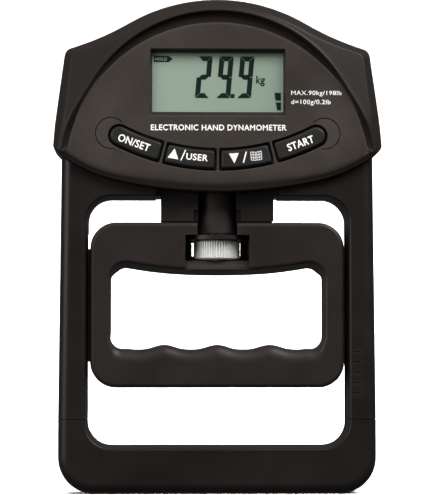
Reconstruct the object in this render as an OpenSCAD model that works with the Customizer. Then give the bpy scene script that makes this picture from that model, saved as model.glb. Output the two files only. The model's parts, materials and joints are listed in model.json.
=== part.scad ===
// Electronic hand dynamometer, standing upright on its palm bar.
// X is the width, the display faces -Y and +Z is up; the origin is on the
// ground plane, at the middle of the width and of the depth.

/* [Overall] */
// Depth of the instrument, from the display rim to the back
depth = 29; // [28.5:0.5:31]
// Wall thickness of the plastic shells
wall = 2; // [1.8:0.1:2.2]

/* [Head] */
// Height of the crest of the head
crest_z = 190; // [190:1:192]
// Radius of the crest arc
crest_r = 68; // [67:0.5:69]
// Lowest point of the head's lower edge
head_low_z = 115.5; // [115.2:0.1:116]
// How far the display panel lies behind the rim
panel_sink = 1.2; // [0.8:0.1:1.4]

/* [Display] */
// Width of the display opening
lcd_w = 52; // [50:0.2:54]
// Height of the display opening
lcd_h = 25.8; // [24:0.1:26]
// Height of the middle of the display opening
lcd_z = 157.6; // [157.4:0.05:157.8]

/* [Keys] */
// Travel of a key
key_travel = 0.8; // [0.5:0.1:0.9]
// Gap round each key cap
key_gap = 0.8; // [0.5:0.1:0.9]

/* [Frame] */
// Half width between the rails
opening_hw = 50.7; // [50.5:0.1:51]
// Outer half width of the rails at their foot
rail_foot_hw = 61.1; // [61:0.1:61.5]
// Height of the seam between the rails and the palm bar
seam_z = 28.5; // [27.8:0.1:30]
// Top of the palm bar
palm_top_z = 17.5; // [16.5:0.1:17.6]

/* [Handle] */
// Top of the handle at its highest setting
handle_top_z = 104.2; // [104:0.1:104.4]
// Underside of the handle at its highest setting
handle_low_z = 40.6; // [40.5:0.1:42]
// Half width of the handle
handle_hw = 48.9; // [48.5:0.1:49]
// Depth of the handle
handle_d = 20; // [19.5:0.5:21]
// Downward travel of the handle
travel = 16; // [12:1:16]

/* [Adjuster] */
// Diameter of the knurled wheel
wheel_d = 18; // [17:0.2:18.4]
// Number of knurl grooves
knurls = 54; // [36:2:60]
// Outer diameter of the neck tube
tube_d = 14.5; // [14:0.1:14.6]

/* [Hidden] */

// Depth stations: negative is towards the user
front_y = -depth / 2;
back_y = depth / 2;
panel_y = front_y + panel_sink;
groove_y = panel_y + 1.3;
cavity_y = groove_y + 1.4;
split_y = -2;
frame_y0 = front_y + 5;
frame_y1 = back_y;
mid_y = (frame_y0 + frame_y1) / 2;
handle_y0 = mid_y - handle_d / 2;
handle_y1 = mid_y + handle_d / 2;

// Circles of the display side: the ridge of the rim and the edge of the panel
rim_r = 56.5;
rim_z = crest_z - 60.9;
panel_r = 58.6;
panel_z = crest_z - 67.6;

// Key band: an arc whose middle radius runs through the four keys
band_z = head_low_z + 94.9;
band_r0 = 78.2;
band_r1 = 86.9;
band_mid = (band_r0 + band_r1) / 2;
band_end = 27.2;
dividers = [-14.7, 0, 14.9];
divider_w = 0.9;
cap_back_y = cavity_y + 1.3;
pcb_y = cap_back_y + key_travel + 2.4;
pcb_t = 1.6;

// Battery bay in the back of the head
cell_d = 10.5;
cell_l = 44.5;
bay_hw = 27.4;
bay_z0 = 151.8;
bay_z1 = 175.2;
bay_y0 = 1.4;
bay_lip = 1.3;
lid_t = 1.5;
lid_catch_x = 15;
lid_gap = 0.25;
lid_y0 = back_y - lid_t;
lid_axis_y = back_y - lid_t / 2;
lid_axis_z = bay_z0 - bay_lip + lid_gap + lid_t / 2;
cell_y = bay_y0 + cell_d / 2 + 0.3;
cell_zs = [bay_z0 + cell_d / 2 + 0.3, bay_z1 - cell_d / 2 - 0.3];

// Steel loop, load cell and the column under it
strap_t = 2.5;
strap_y0 = mid_y - 6;
strap_y1 = mid_y + 6;
strap_x1 = 57;
strap_low_z = 7;
plate_z0 = 120.6;
plate_z1 = plate_z0 + strap_t;
beam = 12.7;
beam_z0 = 134;
beam_z1 = beam_z0 + beam;
beam_x0 = -8;
beam_x1 = 43;
beam_holes = [10.8, 20];
beam_hole_r = 4;
beam_slot_hh = 1.2;
foot_xs = [29.5, 38];
bolt_r = 2.5;
bolt_hole_r = 2.6;
tube_r = tube_d / 2;
tube_z0 = 99.9;
tube_bore = 4.9;
cap_plate_z = beam_z0 - 3.7;
insert_h = 8.1;
thread_r = 4;
screw_top_z = cap_plate_z - 5.6;

// Wheel window in the top bar of the handle
shelf_z = 89.5;
window_hw = 12.4;
window_rear_hw = 10.6;
window_top_z = 99.4;
scoop_r = 3;
wheel_z0 = shelf_z + 0.4;
wheel_z1 = wheel_z0 + 7.7;
tongue_z0 = 50.6;
tongue_z1 = 94.2;
tongue_hw = 3;
tongue_x = 52;
groove_x = 52.4;
groove_hw = tongue_hw + 0.3;

// Case screws: pilot hole and counterbore
pilot_r = 1.3;
counterbore_r = 2.9;
counterbore_h = 2.2;

$fn = 64;

// ---- helpers ----

// Points along an arc, in the drawing plane
function arc(c, r, a0, a1, n) = [
  for (i = [0:n]) c + r * [cos(a0 + (a1 - a0) * i / n), sin(a0 + (a1 - a0) * i / n)]
];
function unit(v) = v / norm(v);
// A corner at b, between a and c, rounded with radius r
function corner(a, b, c, r, n = 6) =
  let (
    u = unit(a - b),
    v = unit(c - b),
    half = acos(u * v) / 2,
    m = b + unit(u + v) * r / sin(half),
    p = b + u * r / tan(half) - m,
    q = b + v * r / tan(half) - m,
    a0 = atan2(p[1], p[0]),
    turn = atan2(q[1], q[0]) - a0,
    sweep = turn > 180 ? turn - 360 : turn < -180 ? turn + 360 : turn
  ) arc(m, r, a0, a0 + sweep, n);
// A closed outline from [x, z, corner radius] entries
function rounded(p, n = 6) = [
  for (i = [0:len(p) - 1])
    let (
      a = p[(i + len(p) - 1) % len(p)],
      b = p[i],
      c = p[(i + 1) % len(p)]
    )
    each b[2] > 0 ? corner([a[0], a[1]], [b[0], b[1]], [c[0], c[1]], b[2], n) : [[b[0], b[1]]]
];
function flip(p) = [for (i = [len(p) - 1:-1:0]) [-p[i][0], p[i][1]]];

// A front-view drawing (x, z) made solid from y0 to y1
module slab(y0, y1) {
  translate([0, y1, 0]) rotate([90, 0, 0]) linear_extrude(y1 - y0) children();
}
// A box given by its two corners
module block(a, b) {
  translate(a) cube(b - a);
}
// A rod along Y
module rod_y(x, z, r, y0, y1) {
  translate([x, y1, z]) rotate([90, 0, 0]) cylinder(r = r, h = y1 - y0);
}
// A rod along Z
module rod_z(x, y, r, z0, z1) {
  translate([x, y, z0]) cylinder(r = r, h = z1 - z0);
}
// A rectangle with rounded corners, as exact arcs
module soft_rect(a, b, r) {
  difference() {
    translate(a) square(b - a);
    for (p = [[a[0], a[1], 1, 1], [b[0], a[1], -1, 1], [a[0], b[1], 1, -1], [b[0], b[1], -1, -1]])
      difference() {
        translate([p[0], p[1]]) scale([p[2], p[3]]) translate([-1, -1]) square(r + 1);
        translate([p[0] + p[2] * r, p[1] + p[3] * r]) circle(r);
      }
  }
}
// Everything between y0 and y1 whose long edges are rounded by r,
// seen along Z for upright parts and along X for lying ones
module round_along_z(hw, y0, y1, r, z0, z1) {
  translate([0, 0, z0]) linear_extrude(z1 - z0) soft_rect([-hw, y0], [hw, y1], r);
}
module round_along_x(hw, y0, y1, r, z0, z1) {
  translate([-hw, 0, 0]) rotate([90, 0, 90]) linear_extrude(2 * hw) soft_rect([y0, z0], [y1, z1], r);
}
// A wire along a list of points
module wire(path, r, sides = 8) {
  n = len(path);
  dirs = [for (i = [0:n - 1]) unit(path[min(i + 1, n - 1)] - path[max(i - 1, 0)])];
  rings = [
    for (i = [0:n - 1])
      let (
        t = dirs[i],
        side = unit(cross(t, abs(t[2]) > 0.9 ? [1, 0, 0] : [0, 0, 1])),
        up = cross(side, t)
      )
      for (k = [0:sides - 1]) path[i] + r * (side * cos(360 * k / sides) + up * sin(360 * k / sides))
  ];
  walls = [
    for (i = [0:n - 2], k = [0:sides - 1])
      let (a = i * sides + k, b = i * sides + (k + 1) % sides)
      each [[a, b, b + sides], [a, b + sides, a + sides]]
  ];
  near = [for (k = [0:sides - 1]) sides - 1 - k];
  far = [for (k = [0:sides - 1]) (n - 1) * sides + k];
  polyhedron(points = rings, faces = concat(walls, [near], [far]));
}

// ---- outlines in the front view ----

// Right half of the head's outline, from the crest down to the middle of the lower edge
function head_half() =
  let (
    crest = arc([0, crest_z - crest_r], crest_r, 90, 60, 14),
    knee = crest[14],
    flare = arc(knee + 100 * [cos(60), sin(60)], 100, 240, 253, 4),
    foot = arc([0, head_low_z + 176], 176, -90 + 12.5, -90, 6),
    turn = foot[0] + 60 * [-sin(12.5), cos(12.5)],
    heel = arc(turn, 60, -90 + 37, -90 + 12.5, 6),
    sides = rounded([[flare[4][0], flare[4][1], 0], [58.7, 170.7, 3.5], [62.5, 142, 0],
      [63.3, 132.7, 2], [heel[0][0], heel[0][1], 0]])
  )
  concat(crest, [for (i = [1:4]) flare[i]], [for (i = [1:len(sides) - 1]) sides[i]],
    [for (i = [1:6]) heel[i]], [for (i = [1:6]) foot[i]]);

module head_2d() {
  half = head_half();
  n = len(half);
  polygon(concat(half, [for (p = flip(half)) if (p[0] < -0.001) p]));
}
// The key band from angle a0 to a1, measured from straight down
module band_2d(r0, r1, a0, a1) {
  difference() {
    translate([0, band_z]) circle(r1, $fn = 128);
    translate([0, band_z]) circle(r0, $fn = 128);
    polygon([[0, band_z], [-200, band_z + 100], [-200, -200],
      [200 * sin(a0), band_z - 200 * cos(a0)]]);
    polygon([[0, band_z], [200 * sin(a1), band_z - 200 * cos(a1)],
      [200, -200], [200, band_z + 100]]);
    translate([-200, band_z - 1]) square([400, 200]);
  }
}
function band_point(a) = [band_mid * sin(a), band_z - band_mid * cos(a)];
// One key, or its pocket when gap is 0; number 0 to 3 from the left
module key_2d(i, gap) {
  edge = (divider_w / 2 + gap) / band_mid * 180 / PI;
  a0 = i == 0 ? -band_end : dividers[i - 1] + edge;
  a1 = i == 3 ? band_end : dividers[i] - edge;
  band_2d(band_r0 + gap, band_r1 - gap, a0, a1);
  if (i == 0) translate(band_point(-band_end)) circle((band_r1 - band_r0) / 2 - gap);
  if (i == 3) translate(band_point(band_end)) circle((band_r1 - band_r0) / 2 - gap);
}
module display_2d(grow) {
  translate([-lcd_w / 2 - grow, lcd_z - lcd_h / 2 - grow]) square([lcd_w + 2 * grow, lcd_h + 2 * grow]);
}
module rail_2d() {
  difference() {
    polygon(concat([[23.7, 114.2]], corner([23.7, 114.2], [opening_hw, 114.2], [opening_hw, 30], 10),
      [[opening_hw, seam_z + 0.1], [rail_foot_hw, seam_z + 0.1], [60, 132], [23.7, 132]]));
    offset(delta = 0.15) head_2d();
  }
}
module palm_2d(grow = 0) {
  polygon(rounded([[-rail_foot_hw + grow, seam_z, 0], [-rail_foot_hw + grow, grow, 13.9 - grow],
    [rail_foot_hw - grow, grow, 13.9 - grow], [rail_foot_hw - grow, seam_z, 0],
    [opening_hw + grow, seam_z, 0], [opening_hw + grow, palm_top_z - grow, 10 + grow],
    [-opening_hw - grow, palm_top_z - grow, 10 + grow], [-opening_hw - grow, seam_z, 0]], 8));
}
// Hand opening of the handle: a bowed upper edge and four finger grooves below
grip_z = 55.4;
ridge_h = 1.8;
function grip(n) = [
  for (i = [0:n]) let (x = -36.4 + 72.8 * i / n)
    [x, grip_z + ridge_h * pow(abs(cos(x / 20.4 * 180)), 3)]
];
module hand_opening_2d(grow = 0) {
  offset(delta = grow) polygon(concat(
    [for (i = [0:12]) let (x = 33.5 - 67 * i / 12) [x, 85.4 + 3 * pow(x / 33.5, 2)]],
    corner([-33.5, 88.4], [-41.4, 89], [-41.4, 60], 7),
    corner([-41.4, 80], [-41.4, grip_z], [-30, grip_z], 5),
    [for (p = grip(36)) if (abs(p[0]) < 35.5) p],
    corner([30, grip_z], [41.4, grip_z], [41.4, 80], 5),
    corner([41.4, 60], [41.4, 89], [33.5, 88.4], 7)
  ));
}
module handle_outer_2d(grow = 0) {
  soft_rect([-handle_hw + grow, handle_low_z + grow], [handle_hw - grow, handle_top_z - grow], 10 - grow);
}

// ---- head ----

// Solid form of the display side: rim, sloping shoulders and sunk panel
module head_front_form() {
  intersection() {
    slab(front_y, split_y) head_2d();
    union() {
      translate([0, 0, rim_z]) rotate([90, 0, 0]) rotate_extrude($fn = 128) polygon([[0, -split_y - 1],
        [120, -split_y - 1], [120, -split_y], [75, 8], [61, 12.4], [rim_r + 0.9, -front_y - 0.8],
        [rim_r + 0.3, -front_y], [0, -front_y]]);
      rod_y(0, panel_z, panel_r, panel_y, split_y, $fn = 128);
    }
  }
}
module head_front_cover() {
  color("#37332f") difference() {
    head_front_form();
    // Panel sunk below the ridge, then the crescent groove round its upper edge
    slab(front_y - 1, panel_y) intersection() {
      translate([0, panel_z]) circle(panel_r, $fn = 128);
      head_2d();
    }
    slab(front_y - 1, groove_y) difference() {
      translate([0, rim_z]) circle(rim_r, $fn = 128);
      translate([0, panel_z]) circle(panel_r, $fn = 128);
      translate([-80, rim_z - 80]) square([160, 80 + 6]);
    }
    // Inside: deep behind the panel, shallow under the shoulders
    slab(cavity_y, split_y + 1) intersection() {
      offset(delta = -wall) head_2d();
      translate([0, rim_z]) circle(rim_r - 1.2, $fn = 128);
    }
    slab(split_y - 2.4, split_y + 1) offset(delta = -wall) head_2d();
    slab(front_y - 1, cavity_y + 1) display_2d(0);
    slab(cavity_y - 0.8, cavity_y + 1) display_2d(2.1);
    for (i = [0:3]) slab(front_y - 1, cavity_y + 1) key_2d(i, 0);
    strap_slots();
    rod_z(0, mid_y, tube_r + 0.5, 110, 124);
  }
}
// Where the steel loop passes through the lower wall of the head
module strap_slots() {
  for (x = [-42, 42])
    block([x - 18, strap_y0 - 0.8, plate_z0 - 0.3], [x + 18, strap_y1 + 0.8, plate_z1 + 1.2]);
}
screw_posts = [[-48, 165], [48, 165], [-52, 136], [52, 136]];
module head_rear_cover() {
  color("#2c2926") difference() {
    union() {
      difference() {
        intersection() {
          slab(split_y, back_y) head_2d();
          round_along_z(63.3, split_y - 9, back_y, 4, 100, 200);
          round_along_x(70, split_y - 9, back_y, 4, 100, crest_z);
        }
        slab(split_y - 1, back_y - wall) offset(delta = -wall) head_2d();
      }
      for (p = screw_posts) rod_y(p[0], p[1], 3, split_y, back_y - 1);
      block([-bay_hw - bay_lip, bay_y0 - 1.2, bay_z0 - bay_lip],
        [bay_hw + bay_lip, back_y - 0.5, bay_z1 + bay_lip]);
    }
    block([-bay_hw, bay_y0, bay_z0], [bay_hw, back_y + 1, bay_z1]);
    // Rebate for the lid, and a slot for its tongues
    block([-bay_hw - bay_lip, lid_y0 - 0.2, bay_z0 - bay_lip],
      [bay_hw + bay_lip, back_y + 1, bay_z1 + bay_lip]);
    for (s = [-1, 1]) translate([s * lid_catch_x, lid_y0, bay_z0])
      block([-4, -2.8, -3], [4, -0.15, 0.5]);
    for (p = screw_posts) {
      rod_y(p[0], p[1], pilot_r, split_y - 1, back_y + 1);
      rod_y(p[0], p[1], counterbore_r, back_y - counterbore_h, back_y + 1);
    }
    strap_slots();
    rod_z(0, mid_y, tube_r + 0.5, 110, 124);
  }
}
// A countersunk-seat pan screw driven along -Y from the back
module screw(x, z, head_y, length, r = 1.25) {
  difference() {
    union() {
      rod_y(x, z, r, head_y - length, head_y - 1.4);
      rod_y(x, z, 2.6, head_y - 1.5, head_y);
    }
    block([x - 1.8, head_y - 0.8, z - 0.35], [x + 1.8, head_y + 1, z + 0.35]);
    block([x - 0.35, head_y - 0.8, z - 1.8], [x + 0.35, head_y + 1, z + 1.8]);
  }
}
module head_screws() {
  color("#8f9194") for (p = screw_posts) screw(p[0], p[1], back_y - 0.65, 12);
}
module lcd_window() {
  color("#cfd8dc", 0.35) slab(cavity_y - 0.8, cavity_y) display_2d(2);
}
module lcd_glass() {
  color("#97a892") slab(cavity_y + 0.4, cavity_y + 2) display_2d(1.4);
}
module lcd_holder() {
  color("#d8d8d0") slab(cavity_y + 0.1, pcb_y) difference() {
    display_2d(3.4);
    display_2d(1.6);
  }
}
module zebra_strips() {
  color("#c46a3a") for (z = [lcd_z - lcd_h / 2 + 0.2, lcd_z + lcd_h / 2 - 1.6])
    block([-24.3, cavity_y + 2, z], [24.3, pcb_y, z + 1.4]);
}
module main_pcb() {
  color("#2f6b3c") difference() {
    slab(pcb_y, pcb_y + pcb_t) intersection() {
      offset(delta = -wall - 2) head_2d();
      translate([-50, plate_z1 + 0.3]) square([100, 55]);
      translate([0, panel_z]) circle(panel_r - 5);
    }
    for (p = screw_posts) rod_y(p[0], p[1], 3.6, pcb_y - 1, pcb_y + pcb_t + 1);
    rod_z(0, mid_y, tube_r + 0.9, 100, 136);
  }
}
pcb_back_y = pcb_y + pcb_t;
module pcb_components() {
  color("#1c1c1e") {
    block([-44, pcb_back_y, 152], [-37, pcb_back_y + 1.6, 159]);
    block([-44, pcb_back_y, 133], [-38, pcb_back_y + 1.2, 137]);
    for (i = [0:4]) block([33 + 2.6 * i, pcb_back_y, 149], [34.3 + 2.6 * i, pcb_back_y + 0.8, 151.2]);
    for (i = [0:3]) block([-34 + 3 * i, pcb_back_y, 145], [-32.4 + 3 * i, pcb_back_y + 0.8, 148]);
    rod_y(-41, 146, 2, pcb_back_y, pcb_back_y + 3.5);
  }
}
buzzer_x = 37.5;
buzzer_z = 159;
module buzzer() {
  color("#222222") difference() {
    rod_y(buzzer_x, buzzer_z, 5, pcb_back_y, pcb_back_y + 5.2);
    rod_y(buzzer_x, buzzer_z, 0.9, pcb_back_y + 3, pcb_back_y + 6);
  }
}
key_centres = [-21.5, -7.3, 7.5, 21.7];
module key_mat() {
  color("#b9b9b4") union() {
    slab(pcb_y - 1.2, pcb_y) difference() {
      band_2d(band_r0 - 1, band_r1 + 1, -band_end - 2, band_end + 2);
      display_2d(3.6);
      // Clear of the steel loop's upper bar
      translate([-strap_x1, plate_z1 - 20]) square([2 * strap_x1, 20.3]);
    }
    for (a = key_centres) rod_y(band_point(a)[0], band_point(a)[1], 2.2, pcb_y - 2.2, pcb_y - 1.1);
  }
}
// Cap standing just proud of the panel, on a wider skirt that cannot pass the key opening
cap_proud = 0.3;
skirt_wide = 0.65;
module key(i) {
  color("#353432") union() {
    slab(panel_y - cap_proud, cavity_y + 0.4) key_2d(i, key_gap);
    slab(cavity_y + 0.2, cap_back_y) key_2d(i, key_gap - skirt_wide);
  }
}
module key_on_set() {
  key(0);
}
module key_user_up() {
  key(1);
}
module key_memory_down() {
  key(2);
}
module key_start() {
  key(3);
}

// ---- battery bay ----

module battery_cover() {
  hw = bay_hw + bay_lip - lid_gap;
  color("#2c2926") difference() {
    union() {
      block([-hw, lid_y0, lid_axis_z], [hw, back_y, bay_z1 + bay_lip - lid_gap]);
      translate([-hw, lid_axis_y, lid_axis_z]) rotate([0, 90, 0]) cylinder(r = lid_t / 2, h = 2 * hw);
      for (s = [-1, 1]) translate([s * lid_catch_x, lid_y0, bay_z0]) {
        block([-3.5, -1.6, -2.6], [3.5, -0.4, 1.5]);
        block([-3.5, -0.5, 0.3], [3.5, 0.2, 1.5]);
      }
      block([-5, lid_y0 - 1.6, bay_z1 - 1.2], [5, lid_y0 + 0.1, bay_z1 - 0.3]);
    }
    // Ribbed thumb recess beside the catch
    for (i = [0:4]) translate([0, back_y, bay_z1 - 7 + 1.4 * i]) block([-7, -0.6, 0], [7, 1, 0.7]);
  }
}
// Each cell's plus end: the upper one points to +X, the lower one to -X
module cell(z, s) {
  translate([0, cell_y, z]) rotate([0, s * 90, 0]) {
    translate([0, 0, -cell_l / 2]) cylinder(r = cell_d / 2 - 0.15, h = cell_l - 1.2);
    translate([0, 0, cell_l / 2 - 1.3]) cylinder(r = 1.9, h = 1.3);
  }
}
module upper_cell() {
  color("#e9eaec") cell(cell_zs[1], 1);
}
module lower_cell() {
  color("#e9eaec") cell(cell_zs[0], -1);
}
module battery_springs() {
  color("#c9ccd0") for (i = [0, 1]) {
    s = i == 0 ? 1 : -1;
    x0 = cell_l / 2 + 0.45;
    x1 = bay_hw - 0.75;
    wire([for (k = [0:54]) let (a = 20 * k, r = 2.4 + 1.6 * k / 54)
      [s * (x0 + (x1 - x0) * k / 54), cell_y + r * cos(a), cell_zs[i] + r * sin(a)]], 0.3, 6);
    block([s > 0 ? bay_hw - 0.42 : -bay_hw, cell_y - 4.6, cell_zs[i] - 4.6],
      [s > 0 ? bay_hw : -bay_hw + 0.42, cell_y + 4.6, cell_zs[i] + 4.6]);
  }
}
module battery_plates() {
  color("#c9ccd0") for (i = [0, 1]) {
    s = i == 0 ? -1 : 1;
    block([s > 0 ? bay_hw - 0.42 : -bay_hw, cell_y - 4.6, cell_zs[i] - 4.6],
      [s > 0 ? bay_hw : -bay_hw + 0.42, cell_y + 4.6, cell_zs[i] + 4.6]);
    translate([s * (cell_l / 2 + 0.1), cell_y, cell_zs[i]]) rotate([0, s * 90, 0])
      cylinder(r = 2.6, h = bay_hw - cell_l / 2 - 0.2);
  }
}
module battery_leads() {
  color("#b02a24") wire([[29.4, 4, 160], [30.5, 2, 158.5], [31, 0, 156], [31, -2, 154],
    [30.5, pcb_back_y + 0.6, 152.5]], 0.55);
  color("#1a1a1a") wire([[-29.4, 4, 160], [-30.5, 2, 158.5], [-31, 0, 156], [-31, -2, 154],
    [-30.5, pcb_back_y + 0.6, 152.5]], 0.55);
}

// ---- force path ----

module load_cell() {
  color("#c3c6c9") difference() {
    block([beam_x0, mid_y - beam / 2, beam_z0], [beam_x1, mid_y + beam / 2, beam_z1]);
    for (x = beam_holes) rod_y(x, beam_z0 + beam / 2, beam_hole_r, mid_y - beam, mid_y + beam);
    translate([0, mid_y, beam_z0 + beam / 2])
      block([beam_holes[0], -beam, -beam_slot_hh], [beam_holes[1], beam, beam_slot_hh]);
    rod_z(0, mid_y, bolt_hole_r, beam_z0 - 1, beam_z1 + 1);
    for (x = foot_xs) rod_z(x, mid_y, bolt_hole_r, beam_z0 - 1, beam_z1 + 1);
  }
}
module load_cell_spacer() {
  color("#9a9da1") difference() {
    block([25, mid_y - beam / 2, plate_z1], [beam_x1, mid_y + beam / 2, beam_z0]);
    for (x = foot_xs) rod_z(x, mid_y, bolt_hole_r, plate_z1 - 1, beam_z0 + 1);
  }
}
// Cap screws up through the steel loop, the spacer and the fixed end of the beam
module load_cell_bolts() {
  color("#6f7276") for (x = foot_xs) difference() {
    union() {
      rod_z(x, mid_y, bolt_r, plate_z0 + 0.1, beam_z1);
      rod_z(x, mid_y, 4.2, beam_z1, beam_z1 + 3);
    }
    translate([x, mid_y, beam_z1 + 1]) cylinder(r = 2.3, h = 3, $fn = 6);
  }
}
module strain_gauges() {
  color("#c77b30") for (x = beam_holes, z = [beam_z0 - 0.3, beam_z1])
    block([x - 3, mid_y - 2.5, z], [x + 3, mid_y + 2.5, z + 0.3]);
}
module gauge_leads() {
  for (i = [0, 1]) color(i == 0 ? "#2456a6" : "#e0e0dc") let (x = beam_holes[i] - 3)
    wire([[x, -0.4, beam_z1 + 0.85], [x - 1.5, -2, beam_z1 + 1.6], [x - 3, -3.2, beam_z1 + 2.4],
      [x - 4, pcb_back_y + 0.45, beam_z1 + 3]], 0.4);
}
module neck_tube() {
  color("#2a2825") difference() {
    rod_z(0, mid_y, tube_r, tube_z0, beam_z0);
    rod_z(0, mid_y, tube_bore, tube_z0 - 1, cap_plate_z);
    rod_z(0, mid_y, bolt_hole_r, cap_plate_z - 1, beam_z0 + 1);
  }
}
module draw_bolt() {
  color("#6f7276") difference() {
    union() {
      rod_z(0, mid_y, 4.4, cap_plate_z - 5, cap_plate_z);
      rod_z(0, mid_y, bolt_r, cap_plate_z - 0.1, beam_z1 - 1);
    }
    translate([0, mid_y, cap_plate_z - 6]) cylinder(r = 2.3, h = 3.6, $fn = 6);
  }
}
module thread_insert() {
  color("#b8903c") difference() {
    rod_z(0, mid_y, tube_bore, tube_z0, tube_z0 + insert_h);
    rod_z(0, mid_y, thread_r + 0.08, tube_z0 - 1, tube_z0 + insert_h + 1);
  }
}
// Block under the head that the neck tube runs through
module neck_guide() {
  color("#2c2926") difference() {
    slab(mid_y - 9, mid_y + 9) difference() {
      union() {
        translate([-21.8, handle_top_z + 0.4]) square([43.6, 20]);
        translate([-23.3, 114.2]) square([46.6, 10]);
      }
      offset(delta = 0.15) head_2d();
    }
    block([-tube_r - 0.3, mid_y - 10, 109], [tube_r + 0.3, mid_y, 120]);
    block([-9, mid_y - 10, 100], [9, mid_y - 7.7, 109]);
    rod_z(0, mid_y, tube_r + 0.3, 100, 130);
  }
}

// ---- frame ----

module strap_2d(grow = 0) {
  difference() {
    soft_rect([-strap_x1 - grow, strap_low_z - grow], [strap_x1 + grow, plate_z1 + grow], 9);
    soft_rect([-strap_x1 + strap_t + grow, strap_low_z + strap_t + grow],
      [strap_x1 - strap_t - grow, plate_z0 - grow], 6.5);
  }
}
// Flat loop that carries the grip force, widened round the neck tube
module steel_frame() {
  color("#a7aaad") difference() {
    union() {
      slab(strap_y0, strap_y1) strap_2d();
      block([-16, mid_y - 9.6, plate_z0], [16, mid_y + 9.6, plate_z1]);
    }
    rod_z(0, mid_y, tube_r + 0.6, 110, 130);
    for (x = foot_xs) rod_z(x, mid_y, bolt_hole_r, 110, 130);
  }
}
// Hollow inside a rail, in front of and behind the split, and the guide groove
module rail_cuts() {
  block([strap_x1 - strap_t - 0.3, frame_y0 + wall, seam_z - 1], [58.9, frame_y1 - wall, 117.5]);
  slab(strap_y0 - 0.3, strap_y1 + 0.3) strap_2d(0.3);
  block([opening_hw - 1, mid_y - groove_hw, seam_z - 1], [groove_x, mid_y + groove_hw, 100]);
}
rail_screw = [50, 118];
module rail(s, y0, y1) {
  color("#2b2826") mirror([s > 0 ? 0 : 1, 0, 0]) difference() {
    intersection() {
      slab(y0, y1) rail_2d();
      round_along_z(rail_foot_hw, frame_y0, frame_y1, 3.6, 0, 140);
    }
    rail_cuts();
    rod_y(rail_screw[0], rail_screw[1], pilot_r, frame_y0 + 3, frame_y1 + 1);
    rod_y(rail_screw[0], rail_screw[1], counterbore_r, frame_y1 - counterbore_h, frame_y1 + 1);
    if (y0 < mid_y - 1) scale_marks();
  }
}
// Engraved setting marks on the front of the right rail
module scale_marks() {
  for (i = [0:4]) block([52.2, frame_y0 - 1, 38.6 + 3.95 * i], [55.1, frame_y0 + 0.25, 38.9 + 3.95 * i]);
}
module left_rail_front() {
  rail(-1, frame_y0, mid_y);
}
module left_rail_rear() {
  rail(-1, mid_y, frame_y1);
}
module right_rail_front() {
  rail(1, frame_y0, mid_y);
}
module right_rail_rear() {
  rail(1, mid_y, frame_y1);
}
palm_screws = [[-34, 13.2], [0, 13.2], [34, 13.2]];
module palm_bar(y0, y1) {
  color("#2b2826") difference() {
    intersection() {
      slab(y0, y1) palm_2d();
      round_along_z(rail_foot_hw, frame_y0, frame_y1, 3.6, -1, 40);
      round_along_x(70, frame_y0, frame_y1, 5, 0, 60);
    }
    block([-48, frame_y0 + wall, strap_low_z - 1.6], [48, frame_y1 - wall, palm_top_z - wall - 4.5]);
    slab(strap_y0 - 0.3, strap_y1 + 0.3) strap_2d(0.3);
    for (p = palm_screws) {
      rod_y(p[0], p[1], pilot_r, frame_y0 + 3, frame_y1 + 1);
      rod_y(p[0], p[1], counterbore_r, frame_y1 - counterbore_h, frame_y1 + 1);
    }
  }
}
module palm_bar_front() {
  palm_bar(frame_y0, mid_y);
}
module palm_bar_rear() {
  palm_bar(mid_y, frame_y1);
}
module frame_screws() {
  color("#8f9194") {
    for (p = palm_screws) screw(p[0], p[1], frame_y1 - 0.65, 15);
    for (s = [-1, 1]) screw(s * rail_screw[0], rail_screw[1], frame_y1 - 0.65, 15);
  }
}

// ---- handle ----

module handle_form(y0, y1) {
  intersection() {
    slab(y0, y1) difference() {
      handle_outer_2d();
      hand_opening_2d();
    }
    round_along_z(handle_hw, handle_y0, handle_y1, 2, 30, 120);
    round_along_x(60, handle_y0, handle_y1, 3, handle_low_z, handle_top_z);
  }
  for (s = [-1, 1]) block([s > 0 ? handle_hw - 1.5 : -tongue_x, max(y0, mid_y - tongue_hw), tongue_z0],
    [s > 0 ? tongue_x : -handle_hw + 1.5, min(y1, mid_y + tongue_hw), tongue_z1]);
}
core_out = [handle_hw - 2.4, handle_low_z + 2.6];
core_t = 2;
module core_2d(grow = 0) {
  difference() {
    soft_rect([-core_out[0] - grow, core_out[1] - grow],
      [core_out[0] + grow, window_top_z + core_t + grow], 7.5);
    soft_rect([-core_out[0] + core_t + grow, core_out[1] + core_t + grow],
      [core_out[0] - core_t - grow, window_top_z - grow], 5.5);
  }
}
handle_screw_posts = [[-30, 94.5], [30, 94.5], [-30, 49.5], [30, 49.5]];
module handle_cuts() {
  slab(mid_y - 8.2, mid_y + 8.2) core_2d(0.2);
  rod_z(0, mid_y, 3.05, shelf_z - 2.2, shelf_z + 1);
  for (p = handle_screw_posts) {
    rod_y(p[0], p[1], pilot_r, handle_y0 + 3, handle_y1 + 1);
    rod_y(p[0], p[1], counterbore_r, handle_y1 - counterbore_h, handle_y1 + 1);
  }
}
module handle_front() {
  color("#2d2b29") difference() {
    handle_form(handle_y0, mid_y);
    handle_cuts();
    block([-window_hw, handle_y0 - 1, shelf_z], [window_hw, mid_y + 1, window_top_z]);
    block([-tube_r - 0.45, handle_y0 - 1, window_top_z - 0.1],
      [tube_r + 0.45, mid_y + 1, handle_top_z + 1]);
    // Scoop under the wheel for a fingertip
    translate([0, handle_y0, shelf_z]) rotate([0, 90, 0])
      cylinder(r = scoop_r, h = 2 * window_hw, center = true);
  }
}
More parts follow.
